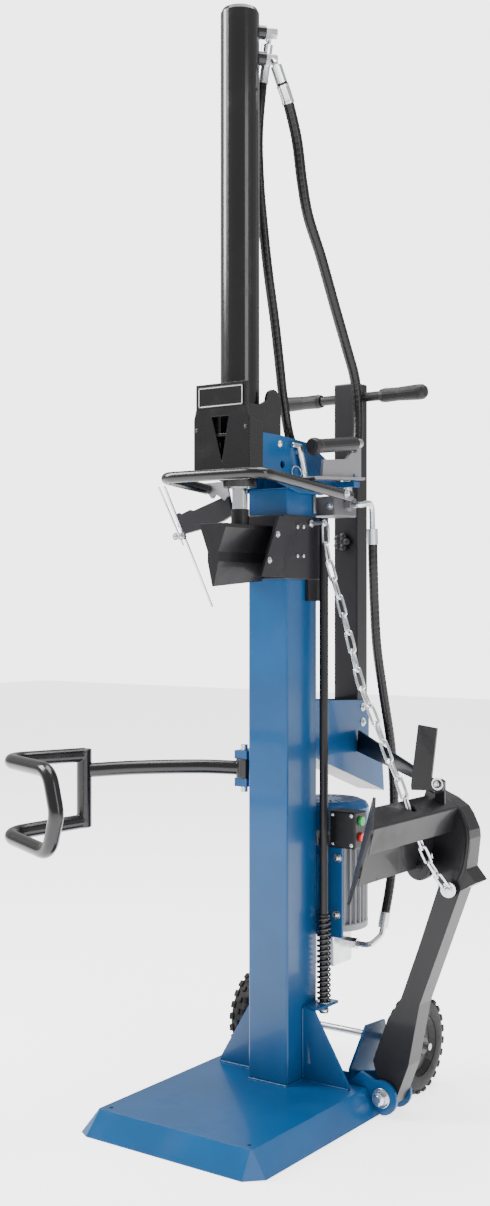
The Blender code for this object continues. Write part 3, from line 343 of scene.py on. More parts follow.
HOSE_EXTEND = [
    (0.0600, 0.0640, 2.1450), (0.0620, 0.0860, 2.1080), (0.0620, 0.1180, 2.0400),
    (0.0610, 0.1390, 1.9600), (0.0600, 0.1650, 1.8900), (0.0600, 0.2150, 1.8150),
    (0.0600, 0.2700, 1.7200), (0.0600, 0.3200, 1.6350), (0.0600, 0.3560, 1.5700),
    (0.0610, 0.3680, 1.5000), (0.0650, 0.3600, 1.4350), (0.0700, 0.3320, 1.3750),
    (0.0720, 0.3010, 1.3360), (0.0720, 0.3000, 1.3120), (0.0720, 0.3000, VALVE_TOP + 2 * FIT)]
HOSE_RETRACT = [
    (0.0130, 0.0720, 2.2000), (0.0020, 0.0760, 2.1500), (-0.0060, 0.0740, 2.0500),
    (-0.0040, 0.0760, 1.9500), (0.0000, 0.0840, 1.8600), (0.0000, 0.1015, 1.7700),
    (0.0000, 0.1260, 1.6700), (0.0000, 0.1430, 1.5880), (0.0000, 0.1600, 1.5040),
    (0.0000, 0.1850, 1.4250), (0.0000, 0.2250, 1.3870), (0.0000, 0.2560, 1.3600),
    (0.0000, 0.2620, 1.3250), (0.0000, 0.2620, VALVE_TOP + 2 * FIT)]
HOSE_PRESSURE = [
    (0.1281, 0.3191, 1.1957), (0.1270, 0.3230, 1.1500), (0.1200, 0.3400, 1.0700),
    (0.1150, 0.3600, 0.9700), (0.1120, 0.3950, 0.8600), (0.1080, 0.4350, 0.7450),
    (0.1040, 0.4550, 0.6300), (0.1040, 0.4520, 0.5250), (0.1040, 0.4400, 0.4400),
    (0.1020, 0.4200, 0.3700)]

for node, points, radius in (("hose_extend", HOSE_EXTEND, 0.0115), ("hose_retract", HOSE_RETRACT, 0.0105)):
    hose, line = guarded_hose(node + "_guarded", points, radius)
    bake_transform(hose)
    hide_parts(node)
    route_length(line)
    whole = route_length(line)
    ridged_sleeve(node + "_upper_sleeve", points, 0.004, 0.040, radius * 1.15, "cylinder")
    ridged_sleeve(node + "_lower_sleeve", points, whole - 0.046, 0.042, radius * 1.22, "frame")

pressure, line = guarded_hose("hose_pressure_guarded", HOSE_PRESSURE, 0.0105)
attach(pressure, "frame")
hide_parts("hose_pressure")
route_length(line)

# --- Lifting chain: it hangs from the carriage and hauls the log lifter up ---
# Welded links of bent steel wire, zinc plated, each a quarter turn from the one before.
CHAIN_ROUTE = [
    (0.0985, 0.1720, 1.2330), (0.1110, 0.1590, 1.1700), (0.1480, 0.1437, 1.0850),
    (0.1870, 0.1239, 0.9980), (0.2290, 0.1010, 0.9000), (0.2705, 0.0853, 0.8346),
    (0.3090, 0.0696, 0.7660), (0.3440, 0.0560, 0.7150), (0.3640, 0.0480, 0.6760),
    (0.3665, 0.0750, 0.6300), (0.3645, 0.1280, 0.5600), (0.3770, 0.1870, 0.4940)]
LINK_WIRE = 0.0030
LINK_HALF_WIDTH = 0.0070
LINK_PITCH = 0.0420
CHAIN_ZINC = metal_finish("chain_zinc", (0.70, 0.71, 0.73), 0.20, 300.0, 0.00008, 0.25)

bpy.ops.object.select_all(action="DESELECT")
bpy.ops.mesh.primitive_torus_add(major_segments=20, minor_segments=10, major_radius=LINK_HALF_WIDTH,
                                 minor_radius=LINK_WIRE)
link = bpy.context.object
stretch = (LINK_PITCH + 2 * LINK_WIRE) / 2 - LINK_HALF_WIDTH - 0.0004
for vertex in link.data.vertices:
    vertex.co.x += stretch if vertex.co.x > 1e-6 else -stretch if vertex.co.x < -1e-6 else 0.0


def joined(pieces):
    """Several meshes made into the first one."""
    bpy.ops.object.select_all(action="DESELECT")
    for piece in pieces:
        piece.select_set(True)
    bpy.context.view_layer.objects.active = pieces[0]
    if len(pieces) > 1:
        bpy.ops.object.join()
    return pieces[0]


def copied(piece, placing):
    """A copy of a piece with its own mesh, put in its place."""
    double = piece.copy()
    double.data = piece.data.copy()
    double.data.transform(placing)
    scene.collection.objects.link(double)
    return double


chain_line = smooth_route(CHAIN_ROUTE, LINK_PITCH)
LINK_TWIST = Matrix.Rotation(math.radians(28), 4, "X")
links = []
for number, (top, bottom) in enumerate(zip(chain_line, chain_line[1:])):
    along = (bottom - top).normalized()
    sideways = along.cross(Vector((0.58, -0.81, 0.0))).normalized()
    turn = along.cross(sideways)
    if number % 2:
        sideways, turn = turn, -sideways
    placing = Matrix((along, sideways, turn)).transposed().to_4x4() @ LINK_TWIST
    placing.translation = (top + bottom) / 2
    links.append(copied(link, placing))
bpy.data.objects.remove(link)
chain = joined(links)
finish_piece(chain, "lift_chain_links", CHAIN_ZINC, "chain", 60.0)
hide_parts("lift_chain")

# --- Base: a pressed pan with a flat deck for the log and a rib across its underside ---
# Folded steel plate under glossy blue enamel, with small drain holes near its corners.
def enamel_finish(name, colour, rough, peel=0.00006, wear_and_highlight=0.40, gloss=0.30):
    """Sprayed enamel on steel: orange peel, faint clouding, dust, and thin paint along the edges, which are
    also lightened as a painted highlight.
    """
    material, shader, place = new_finish(name, Coat_Roughness=0.08, Specular_IOR_Level=gloss)
    cloud = speckle(place, 6.0, 4.0)
    fine = speckle(place, 160.0, 4.0)
    round_normal = place.node("ShaderNodeBevel", {"Radius": 0.0022}, {"samples": 4})
    flat_normal = place.node("ShaderNodeNewGeometry", {}, output=1)
    facing = place.node("ShaderNodeVectorMath", {0: round_normal, 1: flat_normal},
                        {"operation": "DOT_PRODUCT"}, 1)
    edge = between(1.0 - facing, 0.015, 0.16) * between(fine, 0.38, 0.62)
    pale = tuple(min(1.0, channel * 1.5 + 0.012) for channel in colour)
    dark = tuple(channel * 0.82 for channel in colour)
    clouded = mixed(between(cloud, 0.3, 0.7), (*dark, 1.0), (*colour, 1.0))
    dust = between(speckle(place, 14.0, 6.0, 0.6), 0.50, 0.80)
    dusty = mixed(dust * 0.012, clouded, (0.30, 0.29, 0.27, 1.0))
    # Edges mix towards a paler paint: partly thin paint, partly a painted highlight.
    connect(shader, "Base Color", mixed(edge * wear_and_highlight, dusty, (*pale, 1.0)))
    connect(shader, "Roughness", fine * 0.07 + dust * 0.10 + edge * 0.15 + rough)
    connect(shader, "Coat Weight", 0.16 - edge * 0.12 - dust * 0.06)
    peel_height = speckle(place, 330.0, 2.0)
    bump = place.node("ShaderNodeBump", {"Height": peel_height, "Distance": peel, "Strength": 1.0,
                                         "Normal": round_normal})
    connect(shader, "Normal", bump)
    return material


def painted_underside_shade(material, colour):
    """Painted shade from below: faces that look down get a near-black colour mixed over their paint."""
    tree = material.node_tree
    shader = tree.nodes["Principled BSDF"]
    normal = Wire(tree, tree.nodes.new("ShaderNodeNewGeometry").outputs[1])
    up = normal.node("ShaderNodeSeparateXYZ", {"Vector": normal}, output=2)
    paint = Wire(tree, shader.inputs["Base Color"].links[0].from_socket)
    # Mixes the painted shade over the paint where the face looks down.
    connect(shader, "Base Color", mixed(between(0.0 - up, 0.25, 0.40), paint, (*colour, 1.0)))
    return material


BLUE_ENAMEL = enamel_finish("blue_enamel", (0.0005, 0.058, 0.175), 0.30)


def coated(node, material):
    """Gives a CAD part its finish."""
    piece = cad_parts[node]
    piece.data.materials.clear()
    piece.data.materials.append(material)


def pick(piece, chosen, kind="FACE"):
    """Edit mode with only the chosen faces, edges or vertices selected."""
    bpy.ops.object.select_all(action="DESELECT")
    bpy.context.view_layer.objects.active = piece
    piece.select_set(True)
    bpy.ops.object.mode_set(mode="EDIT")
    bpy.ops.mesh.select_mode(type=kind)
    bpy.ops.mesh.select_all(action="DESELECT")
    bpy.ops.object.mode_set(mode="OBJECT")
    parts = {"FACE": piece.data.polygons, "EDGE": piece.data.edges, "VERT": piece.data.vertices}[kind]
    for part in parts:
        if chosen(part):
            part.select = True
    bpy.ops.object.mode_set(mode="EDIT")


def done_editing():
    bpy.ops.object.mode_set(mode="OBJECT")


def broken_edges(piece, width, segments=2, angle=30.0):
    """Breaks a piece's sharp edges, as a file or the press does."""
    bpy.ops.object.select_all(action="DESELECT")
    bpy.context.view_layer.objects.active = piece
    piece.select_set(True)
    bevel = piece.modifiers.new("broken_edges", "BEVEL")
    bevel.width = width
    bevel.segments = segments
    bevel.limit_method = "ANGLE"
    bevel.angle_limit = math.radians(angle)
    bpy.ops.object.modifier_apply(modifier=bevel.name)


def block(low, high, edge=0.0008):
    """A solid block between two corners with broken edges."""
    low, high = Vector(low), Vector(high)
    bpy.ops.object.select_all(action="DESELECT")
    bpy.ops.mesh.primitive_cube_add(size=1.0, location=(low + high) / 2)
    piece = bpy.context.object
    piece.scale = high - low
    bpy.ops.object.transform_apply(location=True, rotation=False, scale=True)
    broken_edges(piece, edge)
    return piece


def shaft(start, end, radius, sides=24, edge=0.0006, end_radius=None):
    """A round or many-sided bar between two points with broken ends."""
    start, end = Vector(start), Vector(end)
    along = end - start
    bpy.ops.object.select_all(action="DESELECT")
    bpy.ops.mesh.primitive_cone_add(vertices=sides, radius1=radius, depth=along.length,
                                    radius2=radius if end_radius is None else end_radius)
    bar = bpy.context.object
    turn = along.to_track_quat("Z", "Y").to_matrix().to_4x4()
    bar.data.transform(Matrix.Translation((start + end) / 2) @ turn)
    broken_edges(bar, edge, 1, 40.0)
    return bar


def hex_bolt(place, direction, across, height, washer=True, socket=False):
    """A hexagon head on its washer, its top chamfered, with the bolt's end standing out of it unless socket
    is set.
    """
    place, direction = Vector(place), Vector(direction).normalized()
    base = place
    parts = []
    if washer:
        parts.append(shaft(place, place + direction * across * 0.10, across * 0.98, 28, across * 0.02))
        base = place + direction * across * 0.10
    radius = across / math.sqrt(3)
    parts.append(shaft(base, base + direction * height * 0.84, radius, 6, 0.0001))
    chamfer = shaft(base + direction * height * 0.80, base + direction * height, across / 2, 6, 0.0001,
                    across * 0.44)
    parts.append(chamfer)
    end = base + direction * height
    if not socket:
        parts.append(shaft(end - direction * 0.001, end + direction * across * 0.10, across * 0.28, 16))
    return joined(parts)


def round_bolt(place, direction, radius, height):
    """A domed bolt head on its washer."""
    place, direction = Vector(place), Vector(direction).normalized()
    bpy.ops.object.select_all(action="DESELECT")
    bpy.ops.mesh.primitive_uv_sphere_add(segments=20, ring_count=12, radius=radius)
    dome = bpy.context.object
    pick(dome, lambda vertex: vertex.co.z < -1e-6, "VERT")
    bpy.ops.mesh.delete(type="VERT")
    bpy.ops.mesh.select_all(action="SELECT")
    bpy.ops.mesh.edge_face_add()
    done_editing()
    flatten = Matrix.Diagonal((1.0, 1.0, height / radius, 1.0))
    turn = direction.to_track_quat("Z", "Y").to_matrix().to_4x4()
    dome.data.transform(Matrix.Translation(place + direction * height * 0.25) @ turn @ flatten)
    washer = shaft(place, place + direction * height * 0.28, radius * 1.35, 28, height * 0.05)
    return joined([dome, washer])


for node in ("base_plate", "gusset_left", "gusset_right", "axle_bracket_left", "axle_bracket_right",
             "hinge_ear", "catch_hinge", "motor_plate"):
    coated(node, BLUE_ENAMEL)

# A dark finish used as painted shade in holes and slots.
HOLE_SHADE_PAINT = rubber_finish("hole_shadow", (0.004, 0.004, 0.005), 0.7, 300.0, 0.0)


def hole_ring(name, place, direction, radius, body):
    """A punched hole: a dark disc."""
    place, direction = Vector(place), Vector(direction).normalized()
    # The disc is painted shade standing in for the dark inside of the hole; nothing is cut.
    disc = shaft(place, place + direction * 0.0002, radius, 24, 0.00005)
    return finish_piece(disc, name, HOLE_SHADE_PAINT, body)


hole_ring("base_drain_hole_front", (0.1700, -0.2060, 0.0550), (0, 0, 1), 0.0042, "frame")
hole_ring("base_drain_hole_left", (-0.1700, -0.2060, 0.0550), (0, 0, 1), 0.0042, "frame")


def weld_bead(name, start, end, radius, material, body):
    """A row of overlapping weld ripples along a joint, under the paint."""
    start, end = Vector(start), Vector(end)
    count = max(4, round((end - start).length / 0.0030))
    route = [start.lerp(end, index / count) for index in range(count + 1)]
    bead = sweep(route, lambda walked, angle: radius * (0.86 + 0.14 * abs(math.cos(walked * 900.0))), 10)
    return finish_piece(bead, name, material, body, 60.0)


for name, start, end, radius in (
        ("column_weld_front", (-0.0490, 0.0990, 0.0556), (0.0490, 0.0990, 0.0556), 0.0026),
        ("column_weld_right", (0.0510, 0.1010, 0.0556), (0.0510, 0.1550, 0.0556), 0.0026),
        ("gusset_weld_right", (0.0530, 0.1550, 0.0556), (0.1650, 0.1550, 0.0556), 0.0024),
        ("gusset_weld_left", (-0.0530, 0.1550, 0.0556), (-0.1650, 0.1550, 0.0556), 0.0024),
        ("gusset_weld_upright", (0.0520, 0.1550, 0.0600), (0.0520, 0.1550, 0.2080), 0.0022)):
    weld_bead(name, start, end, radius, BLUE_ENAMEL, "frame")

# --- Column: a welded square tube of thick steel that the carriage slides on ---
# It stands on the pan, and the head is welded to its top.
coated("column", BLUE_ENAMEL)

# --- Head: two welded cheeks that hold the cylinder's bracket, the levers and the valve ---
# Blue enamelled plate; the bow's brackets are held by domed bolts.
coated("head_frame", BLUE_ENAMEL)
head_bolts = [round_bolt((0.0640, 0.0522, 1.3956), (1, 0, 0), 0.0062, 0.0040),
              round_bolt((-0.0640, 0.0522, 1.3956), (-1, 0, 0), 0.0062, 0.0040)]
finish_piece(joined(head_bolts), "head_dome_bolts", ZINC, "frame")

# --- Cylinder: a long welded tube, its screwed gland, two ports, and the chromed rod ---
# Gloss black enamel on drawn tube; the rod is hard chromed and the port pipes are zinc plated.
BLACK_ENAMEL = enamel_finish("black_enamel", (0.0034, 0.0031, 0.0040), 0.17, 0.00004, 0.12, 0.42)
for node in ("ram_tube", "cylinder_gland"):
    coated(node, BLACK_ENAMEL)
HARD_CHROME, chrome_shader, chrome_place = new_finish("hard_chrome", Metallic=1.0)
chrome_lines = chrome_place.node("ShaderNodeMapping", {"Vector": chrome_place, "Scale": (1.0, 1.0, 26.0)})
chrome_hoops = speckle(chrome_lines, 60.0, 4.0)
connect(chrome_shader, "Base Color", mixed(chrome_hoops, (0.55, 0.56, 0.58, 1.0), (0.78, 0.79, 0.80, 1.0)))
connect(chrome_shader, "Roughness", chrome_hoops * 0.08 + 0.06)
roughened(chrome_shader, chrome_place, chrome_hoops, 0.00003)
coated("piston_rod", HARD_CHROME)
BARE_STEEL = metal_finish("turned_steel", (0.42, 0.42, 0.44), 0.30, 500.0, 0.00006, 0.25)
for node in ("piston", "motor_rotor", "axle"):
    coated(node, BARE_STEEL)
for node in ("port_fitting_upper", "port_fitting_lower", "pump_elbow", "valve_elbow", "locking_pin",
             "catch_pin", "pump"):
    coated(node, ZINC)

WELD_STEPS = 120


def round_weld(name, centre, radius, bead, material, body):
    """A ring of weld ripples round a tube."""
    centre = Vector(centre)
    route = [centre + Vector((math.cos(turn), math.sin(turn), 0.0)) * radius
             for turn in (2 * math.pi * index / WELD_STEPS for index in range(WELD_STEPS))]

    def ripple(walked, angle):
        return bead * (0.84 + 0.16 * abs(math.cos(walked * 900.0)))

    ring = sweep(route + route[:1], ripple, 10)
    return finish_piece(ring, name, material, body, 60.0)


round_weld("tube_cap_weld", (0.0, 0.0, 2.2770), 0.0380, 0.0018, BLACK_ENAMEL, "cylinder")

# --- Cylinder bracket: a folded black cover that pins the cylinder's foot into the head ---
# Laser-cut plate with a V-shaped window; a blank framed plate sits on its front.
coated("cylinder_bracket", BLACK_ENAMEL)
WHITE_LINE = enamel_finish("white_line", (0.62, 0.62, 0.62), 0.35, 0.00004, 0.0)
coated("nameplate", BLACK_ENAMEL)
PLATE_X, PLATE_LOW, PLATE_HIGH, PLATE_Y = 0.0548, 1.4655, 1.5045, -0.0684
frame_bars = []
for low, high in (((-PLATE_X, PLATE_HIGH - 0.0018), (PLATE_X, PLATE_HIGH)),
                  ((-PLATE_X, PLATE_LOW), (PLATE_X, PLATE_LOW + 0.0018)),
                  ((-PLATE_X, PLATE_LOW), (-PLATE_X + 0.0018, PLATE_HIGH)),
                  ((PLATE_X - 0.0018, PLATE_LOW), (PLATE_X, PLATE_HIGH))):
    frame_bars.append(block((low[0], PLATE_Y, low[1]), (high[0], PLATE_Y + 0.0006, high[1]), 0.0001))
finish_piece(joined(frame_bars), "nameplate_border", WHITE_LINE, "cylinder")
bracket_bolts = []
for x in (-0.0610, 0.0610):
    bracket_bolts.append(round_bolt((x, -0.0660, 1.4200), (0, -1, 0), 0.0036, 0.0022))
finish_piece(joined(bracket_bolts), "bracket_front_rivets", BLACK_ENAMEL, "cylinder")

# --- Locking pin: a round pin with a flat pull bar and a spring-wire ring ---
# Zinc-plated steel; the ring snaps over the bar's end so that the pin can't walk out.
RING_CENTRE = Vector((0.0727, 0.1010, 1.3400))
bpy.ops.object.select_all(action="DESELECT")
bpy.ops.mesh.primitive_torus_add(major_segments=40, minor_segments=10, major_radius=0.0135,
                                 minor_radius=0.0010)
ring = bpy.context.object
tilt = Matrix.Rotation(math.radians(83), 4, "Y") @ Matrix.Rotation(math.radians(12), 4, "X")
ring.data.transform(Matrix.Translation(RING_CENTRE) @ tilt)
finish_piece(ring, "pin_ring", ZINC, "pin")
cross_bar = shaft((0.0720, 0.1150, 1.3965), (0.0720, 0.0860, 1.3965), 0.0048, 24, 0.0010)
finish_piece(cross_bar, "pin_cross_bar", ZINC, "pin")

# --- Splitting wedge and carriage: the wedge hangs from the rod, the carriage guides it ---
# The wedge is black enamelled; the carriage is a dark grey welded box held by pairs of bolts.
GREY_ENAMEL = enamel_finish("dark_grey_enamel", (0.0120, 0.0108, 0.0140), 0.38, 0.00006, 0.16, 0.22)
SATIN_BLACK = enamel_finish("satin_black_enamel", (0.0048, 0.0043, 0.0058), 0.36, 0.00006, 0.16, 0.24)
coated("wedge", SATIN_BLACK)
coated("carriage", GREY_ENAMEL)
carriage_bolts = []
for y, z in ((0.1218, 1.2277), (0.1448, 1.2287), (0.1218, 1.1668), (0.1448, 1.1674)):
    for side in (1, -1):
        carriage_bolts.append(hex_bolt((side * 0.0600, y, z), (side, 0, 0), 0.0075, 0.0036, False))
finish_piece(joined(carriage_bolts), "carriage_bolts", ZINC, "slider")
clip_bolts = []
for y, z in ((0.0500, 1.2096), (0.0205, 1.1555)):
    for side in (1, -1):
        clip_bolts.append(hex_bolt((side * 0.0600, y, z), (side, 0, 0), 0.0070, 0.0036))
finish_piece(joined(clip_bolts), "wedge_side_bolts", ZINC, "slider")

# --- Two-hand controls: a lever at each side, its rubber grip, and the bow that guards them ---
# Pressed grey levers on upright pivots; the bow is gloss black tube bent from one length.
PRESSED_ZINC = metal_finish("pressed_zinc", (0.34, 0.33, 0.35), 0.42, 300.0, 0.00008, 0.3)
for node in ("control_lever_left", "control_lever_right"):
    coated(node, PRESSED_ZINC)
coated("claw_plate", GREY_ENAMEL)
GRIP_RUBBER = rubber_finish("grip_rubber", (0.0075, 0.0066, 0.0080), 0.46, 1300.0, 0.00010)
for node in ("lever_grip_left", "lever_grip_right", "handle_grip_left", "handle_grip_right"):
    coated(node, GRIP_RUBBER)


def bent_route(corners, radius, steps=10):
    """The points of a bent tube: straight runs with an arc at each corner."""
    corners = [Vector(corner) for corner in corners]
    route = [corners[0]]
    for before, corner, after in zip(corners, corners[1:], corners[2:]):
        back = (before - corner).normalized()
        ahead = (after - corner).normalized()
        reach = min(radius / math.tan(back.angle(ahead) / 2), (before - corner).length * 0.48,
                    (after - corner).length * 0.48)
        for step in range(steps + 1):
            share = step / steps
            first = corner + back * reach * (1 - share)
            second = corner + ahead * reach * share
            route.append(first.lerp(second, share))
    return route + [corners[-1]]


BOW_TUBE = [(0.1200, 0.2350, 1.2970), (0.1200, -0.0930, 1.3240), (-0.1230, -0.1040, 1.3240),
            (-0.1400, 0.0715, 1.3130)]
BOW_TUBE_RADIUS = 0.0115
bow = sweep(bent_route(BOW_TUBE, 0.035), lambda walked, angle: BOW_TUBE_RADIUS, 32)
finish_piece(bow, "control_bow_tube", BLACK_ENAMEL, "frame", 40.0)
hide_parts("control_bow")
bow_bolts = [hex_bolt((0.1200, 0.2352, 1.2970), (0, 1, -0.08), 0.0080, 0.0040),
             hex_bolt((0.1316, 0.2050, 1.2996), (1, 0, 0), 0.0100, 0.0050)]
finish_piece(joined(bow_bolts), "bow_end_bolts", ZINC, "frame")

# --- Trip rods: two thin rods from the bow's left end down towards the catch bow ---
# Bright zinc-plated wire rods, joined by a clamp with two small hexagon bolts.
ROD_LINES = [((-0.1420, -0.0900, 1.3070), (-0.1420, -0.0080, 1.1900), 0.0022),
             ((-0.1400, -0.0730, 1.3090), (-0.1390, 0.0900, 1.0600), 0.0026)]
rods = [shaft(start, end, radius, 16, 0.0004) for start, end, radius in ROD_LINES]
finish_piece(joined(rods), "trip_rods", ZINC, "frame")
clamp_place = Vector((-0.1450, -0.0180, 1.2080))
clamp_parts = [block(clamp_place + Vector((-0.0120, -0.0040, -0.0070)),
                     clamp_place + Vector((0.0160, 0.0040, 0.0070)))]
for x in (-0.0060, 0.0100):
    clamp_parts.append(shaft(clamp_place + Vector((x, -0.0110, 0)), clamp_place + Vector((x, 0.0100, 0)),
                             0.0030, 16))
for x in (-0.0060, 0.0100):
    clamp_parts.append(hex_bolt(clamp_place + Vector((x, -0.0040, 0)), (0, -1, 0), 0.0080, 0.0040))
clamp = joined(clamp_parts)
finish_piece(clamp, "trip_rod_clamp", ZINC, "frame")

# --- Valve: a cast spool valve behind the column's top, worked by the two levers ---
# Grey casting with machined ports; each hose ends in a hexagon nut on it.
VALVE_CAST = enamel_finish("valve_casting", (0.085, 0.083, 0.090), 0.40, 0.00030, 0.35)
coated("valve_block", VALVE_CAST)
valve_nuts = []
for x, y in ((0.0720, 0.3000), (0.0000, 0.2620)):
    valve_nuts.append(shaft((x, y, VALVE_TOP + 0.0002), (x, y, VALVE_TOP + 0.0120), 0.0150, 6, 0.0008))
finish_piece(joined(valve_nuts), "valve_hose_nuts", ZINC, "frame")
valve_bolts = []
for x in (-0.0330, 0.0780):
    valve_bolts.append(hex_bolt((x, 0.2235, 1.2760), (0, -1, 0), 0.0080, 0.0045))
finish_piece(joined(valve_bolts), "valve_bolts", ZINC, "frame")

shim = block((0.0508, 0.1965, 1.2610), (0.0545, 0.2060, 1.2990), 0.0006)
finish_piece(shim, "column_shim", PRESSED_ZINC, "frame")
eye_bolt = joined([shaft((0.0606, 0.1720, 1.2370), (0.0985, 0.1720, 1.2370), 0.0042, 20),
                   shaft((0.0606, 0.1720, 1.2370), (0.0660, 0.1720, 1.2370), 0.0085, 6),
                   shaft((0.0930, 0.1720, 1.2370), (0.0985, 0.1720, 1.2370), 0.0080, 6)])
finish_piece(eye_bolt, "chain_eye_bolt", ZINC, "slider")

# --- Rear post and tow handle: box tube behind the column, with a cross bar for the hands ---
# Satin black enamel; the post is bolted to a folded blue bracket on the column's back.
RIM_PLASTIC = rubber_finish("moulded_plastic", (0.0050, 0.0048, 0.0052), 0.36, 600.0, 0.00006)
for node in ("rear_post", "handle_bar"):
    coated(node, SATIN_BLACK)
# A copy of the blue enamel that gets painted shade on its down-facing faces.
BRACKET_BLUE_SHADED = enamel_finish("bracket_blue_enamel_painted_shade", (0.0005, 0.058, 0.175), 0.30)
# The bracket's down-facing faces are painted near black as shade.
coated("rear_bracket", painted_underside_shade(BRACKET_BLUE_SHADED, (0.010, 0.010, 0.013)))
bracket_side_bolts = []
for y, z in ((0.4334, 0.8298), (0.4334, 0.7955), (0.4968, 0.7190)):
    for side in (1, -1):
        bracket_side_bolts.append(hex_bolt((side * 0.0355, y, z), (side, 0, 0), 0.0100, 0.0050))
finish_piece(joined(bracket_side_bolts), "rear_bracket_bolts", ZINC, "frame")
knob_parts = [shaft((-0.0060, 0.4040, 1.2080), (-0.0060, 0.4150, 1.2080), 0.0110, 24, 0.0020)]
KNOB_ARMS = 5
knob_arm = shaft((0.0, -0.0060, 0.0), (0.0, 0.0050, 0.0), 0.0080, 20, 0.0020)
for index in range(KNOB_ARMS):
    turn = Matrix.Rotation(2 * math.pi * index / KNOB_ARMS, 4, "Y")
    knob_parts.append(copied(knob_arm, Matrix.Translation((-0.0060, 0.4080, 1.2080)) @ turn
                             @ Matrix.Translation((0.0130, 0.0, 0.0))))
bpy.data.objects.remove(knob_arm)
finish_piece(joined(knob_parts), "post_star_knob", RIM_PLASTIC, "frame", 50.0)

# --- Electric motor: finned aluminium housing, fan cover, mounting plate and switch box ---
# The housing is cast with thirty-six cooling fins; the fan cover is pressed steel with slots.
MOTOR_GREY = enamel_finish("motor_grey", (0.26, 0.265, 0.28), 0.42, 0.00020, 0.25)
MOTOR_Y, MOTOR_LOW, MOTOR_HIGH = 0.344, 0.345, 0.570
motor_parts = [shaft((0, MOTOR_Y, MOTOR_LOW), (0, MOTOR_Y, MOTOR_HIGH), 0.0770, 64, 0.001),
               shaft((0, MOTOR_Y, MOTOR_LOW), (0, MOTOR_Y, MOTOR_LOW + 0.016), 0.0878, 64, 0.002),
               shaft((0, MOTOR_Y, MOTOR_HIGH - 0.012), (0, MOTOR_Y, MOTOR_HIGH), 0.0878, 64, 0.002)]
FINS = 36
fin = block((0.0740, -0.0014, MOTOR_LOW + 0.010), (0.0872, 0.0014, MOTOR_HIGH - 0.008), 0.0006)
for index in range(FINS):
    turn = Matrix.Rotation(2 * math.pi * (index + 0.5) / FINS, 4, "Z")
    motor_parts.append(copied(fin, Matrix.Translation((0, MOTOR_Y, 0)) @ turn))
bpy.data.objects.remove(fin)
motor = finish_piece(joined(motor_parts), "motor_finned_housing", MOTOR_GREY, "frame")
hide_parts("motor_housing")
coated("fan_cover", BLUE_ENAMEL)
FAN_SLOTS = 20
fan_slots = []
# The slots are thin dark strips on the cover, painted shade standing in for the openings.
fan_slot = block((0.0300, -0.0022, 0.6283), (0.0640, 0.0022, 0.62845), 0.00005)
for index in range(FAN_SLOTS):
    turn = Matrix.Rotation(2 * math.pi * index / FAN_SLOTS, 4, "Z")
    fan_slots.append(copied(fan_slot, Matrix.Translation((0, MOTOR_Y, 0)) @ turn))
bpy.data.objects.remove(fan_slot)
finish_piece(joined(fan_slots), "fan_cover_slots", HOLE_SHADE_PAINT, "frame")
plate_bolts = []
for x, z in ((0.0869, 0.5175), (0.0836, 0.3941), (-0.0869, 0.5175), (-0.0836, 0.3941)):
    plate_bolts.append(hex_bolt((x, 0.2405, z), (0, -1, 0), 0.0100, 0.0050))
finish_piece(joined(plate_bolts), "motor_plate_bolts", ZINC, "frame")
BOX_PLASTIC = rubber_finish("switch_box_plastic", (0.0050, 0.0050, 0.0056), 0.38, 900.0, 0.00008)
coated("switch_box", BOX_PLASTIC)
box_screws = []
for x, z in ((0.0800, 0.6120), (0.0800, 0.5490), (0.1270, 0.6120), (0.1270, 0.5490)):
    box_screws.append(round_bolt((x, 0.2310, z), (0, -1, 0), 0.0030, 0.0018))
finish_piece(joined(box_screws), "switch_box_screws", ZINC, "frame")


def button_finish(name, colour):
    """Glossy moulded plastic with a faint swirl."""
    material, shader, place = new_finish(name, Specular_IOR_Level=0.55)
    swirl = speckle(place, 120.0, 3.0)
    dark = tuple(channel * 0.75 for channel in colour)
    connect(shader, "Base Color", mixed(between(swirl, 0.35, 0.65), (*dark, 1.0), (*colour, 1.0)))
    connect(shader, "Roughness", swirl * 0.12 + 0.18)
    roughened(shader, place, swirl, 0.00005)
    return material


coated("start_button", button_finish("start_button_plastic", (0.010, 0.35, 0.060)))
coated("stop_button", button_finish("stop_button_plastic", (0.62, 0.010, 0.008)))

# --- Stroke rod: it limits the carriage's travel, and a coil spring pushes it back up ---
# Black rod through a tab on the gusset; the spring is black steel wire between two washers.
coated("stroke_rod", SATIN_BLACK)
SPRING_STEEL = metal_finish("spring_steel", (0.085, 0.083, 0.088), 0.34, 500.0, 0.00006, 0.4)
ROD_X, ROD_Y = 0.0735, 0.206
SPRING_LOW, SPRING_HIGH, SPRING_RADIUS, SPRING_WIRE, TURNS = 0.2147, 0.3935, 0.0135, 0.0022, 16
STEPS_A_TURN = 20
coil = []
for step in range(TURNS * STEPS_A_TURN + 1):
    share = step / (TURNS * STEPS_A_TURN)
    angle = 2 * math.pi * TURNS * share
    coil.append(Vector((ROD_X + SPRING_RADIUS * math.cos(angle), ROD_Y + SPRING_RADIUS * math.sin(angle),
                        SPRING_LOW + (SPRING_HIGH - SPRING_LOW) * share)))
spring = sweep(coil, lambda walked, angle: SPRING_WIRE, 10)
finish_piece(spring, "stroke_coil_spring", SPRING_STEEL, "frame", 60.0)
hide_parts("stroke_spring")
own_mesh(spring)
spring_washer = joined([shaft((ROD_X, ROD_Y, 0.2124), (ROD_X, ROD_Y, 0.2140), 0.0150, 32, 0.0003),
                        shaft((ROD_X, ROD_Y, 0.1920), (ROD_X, ROD_Y, 0.1990), 0.0115, 6, 0.0006)])
finish_piece(spring_washer, "stroke_rod_washer", ZINC, "frame")

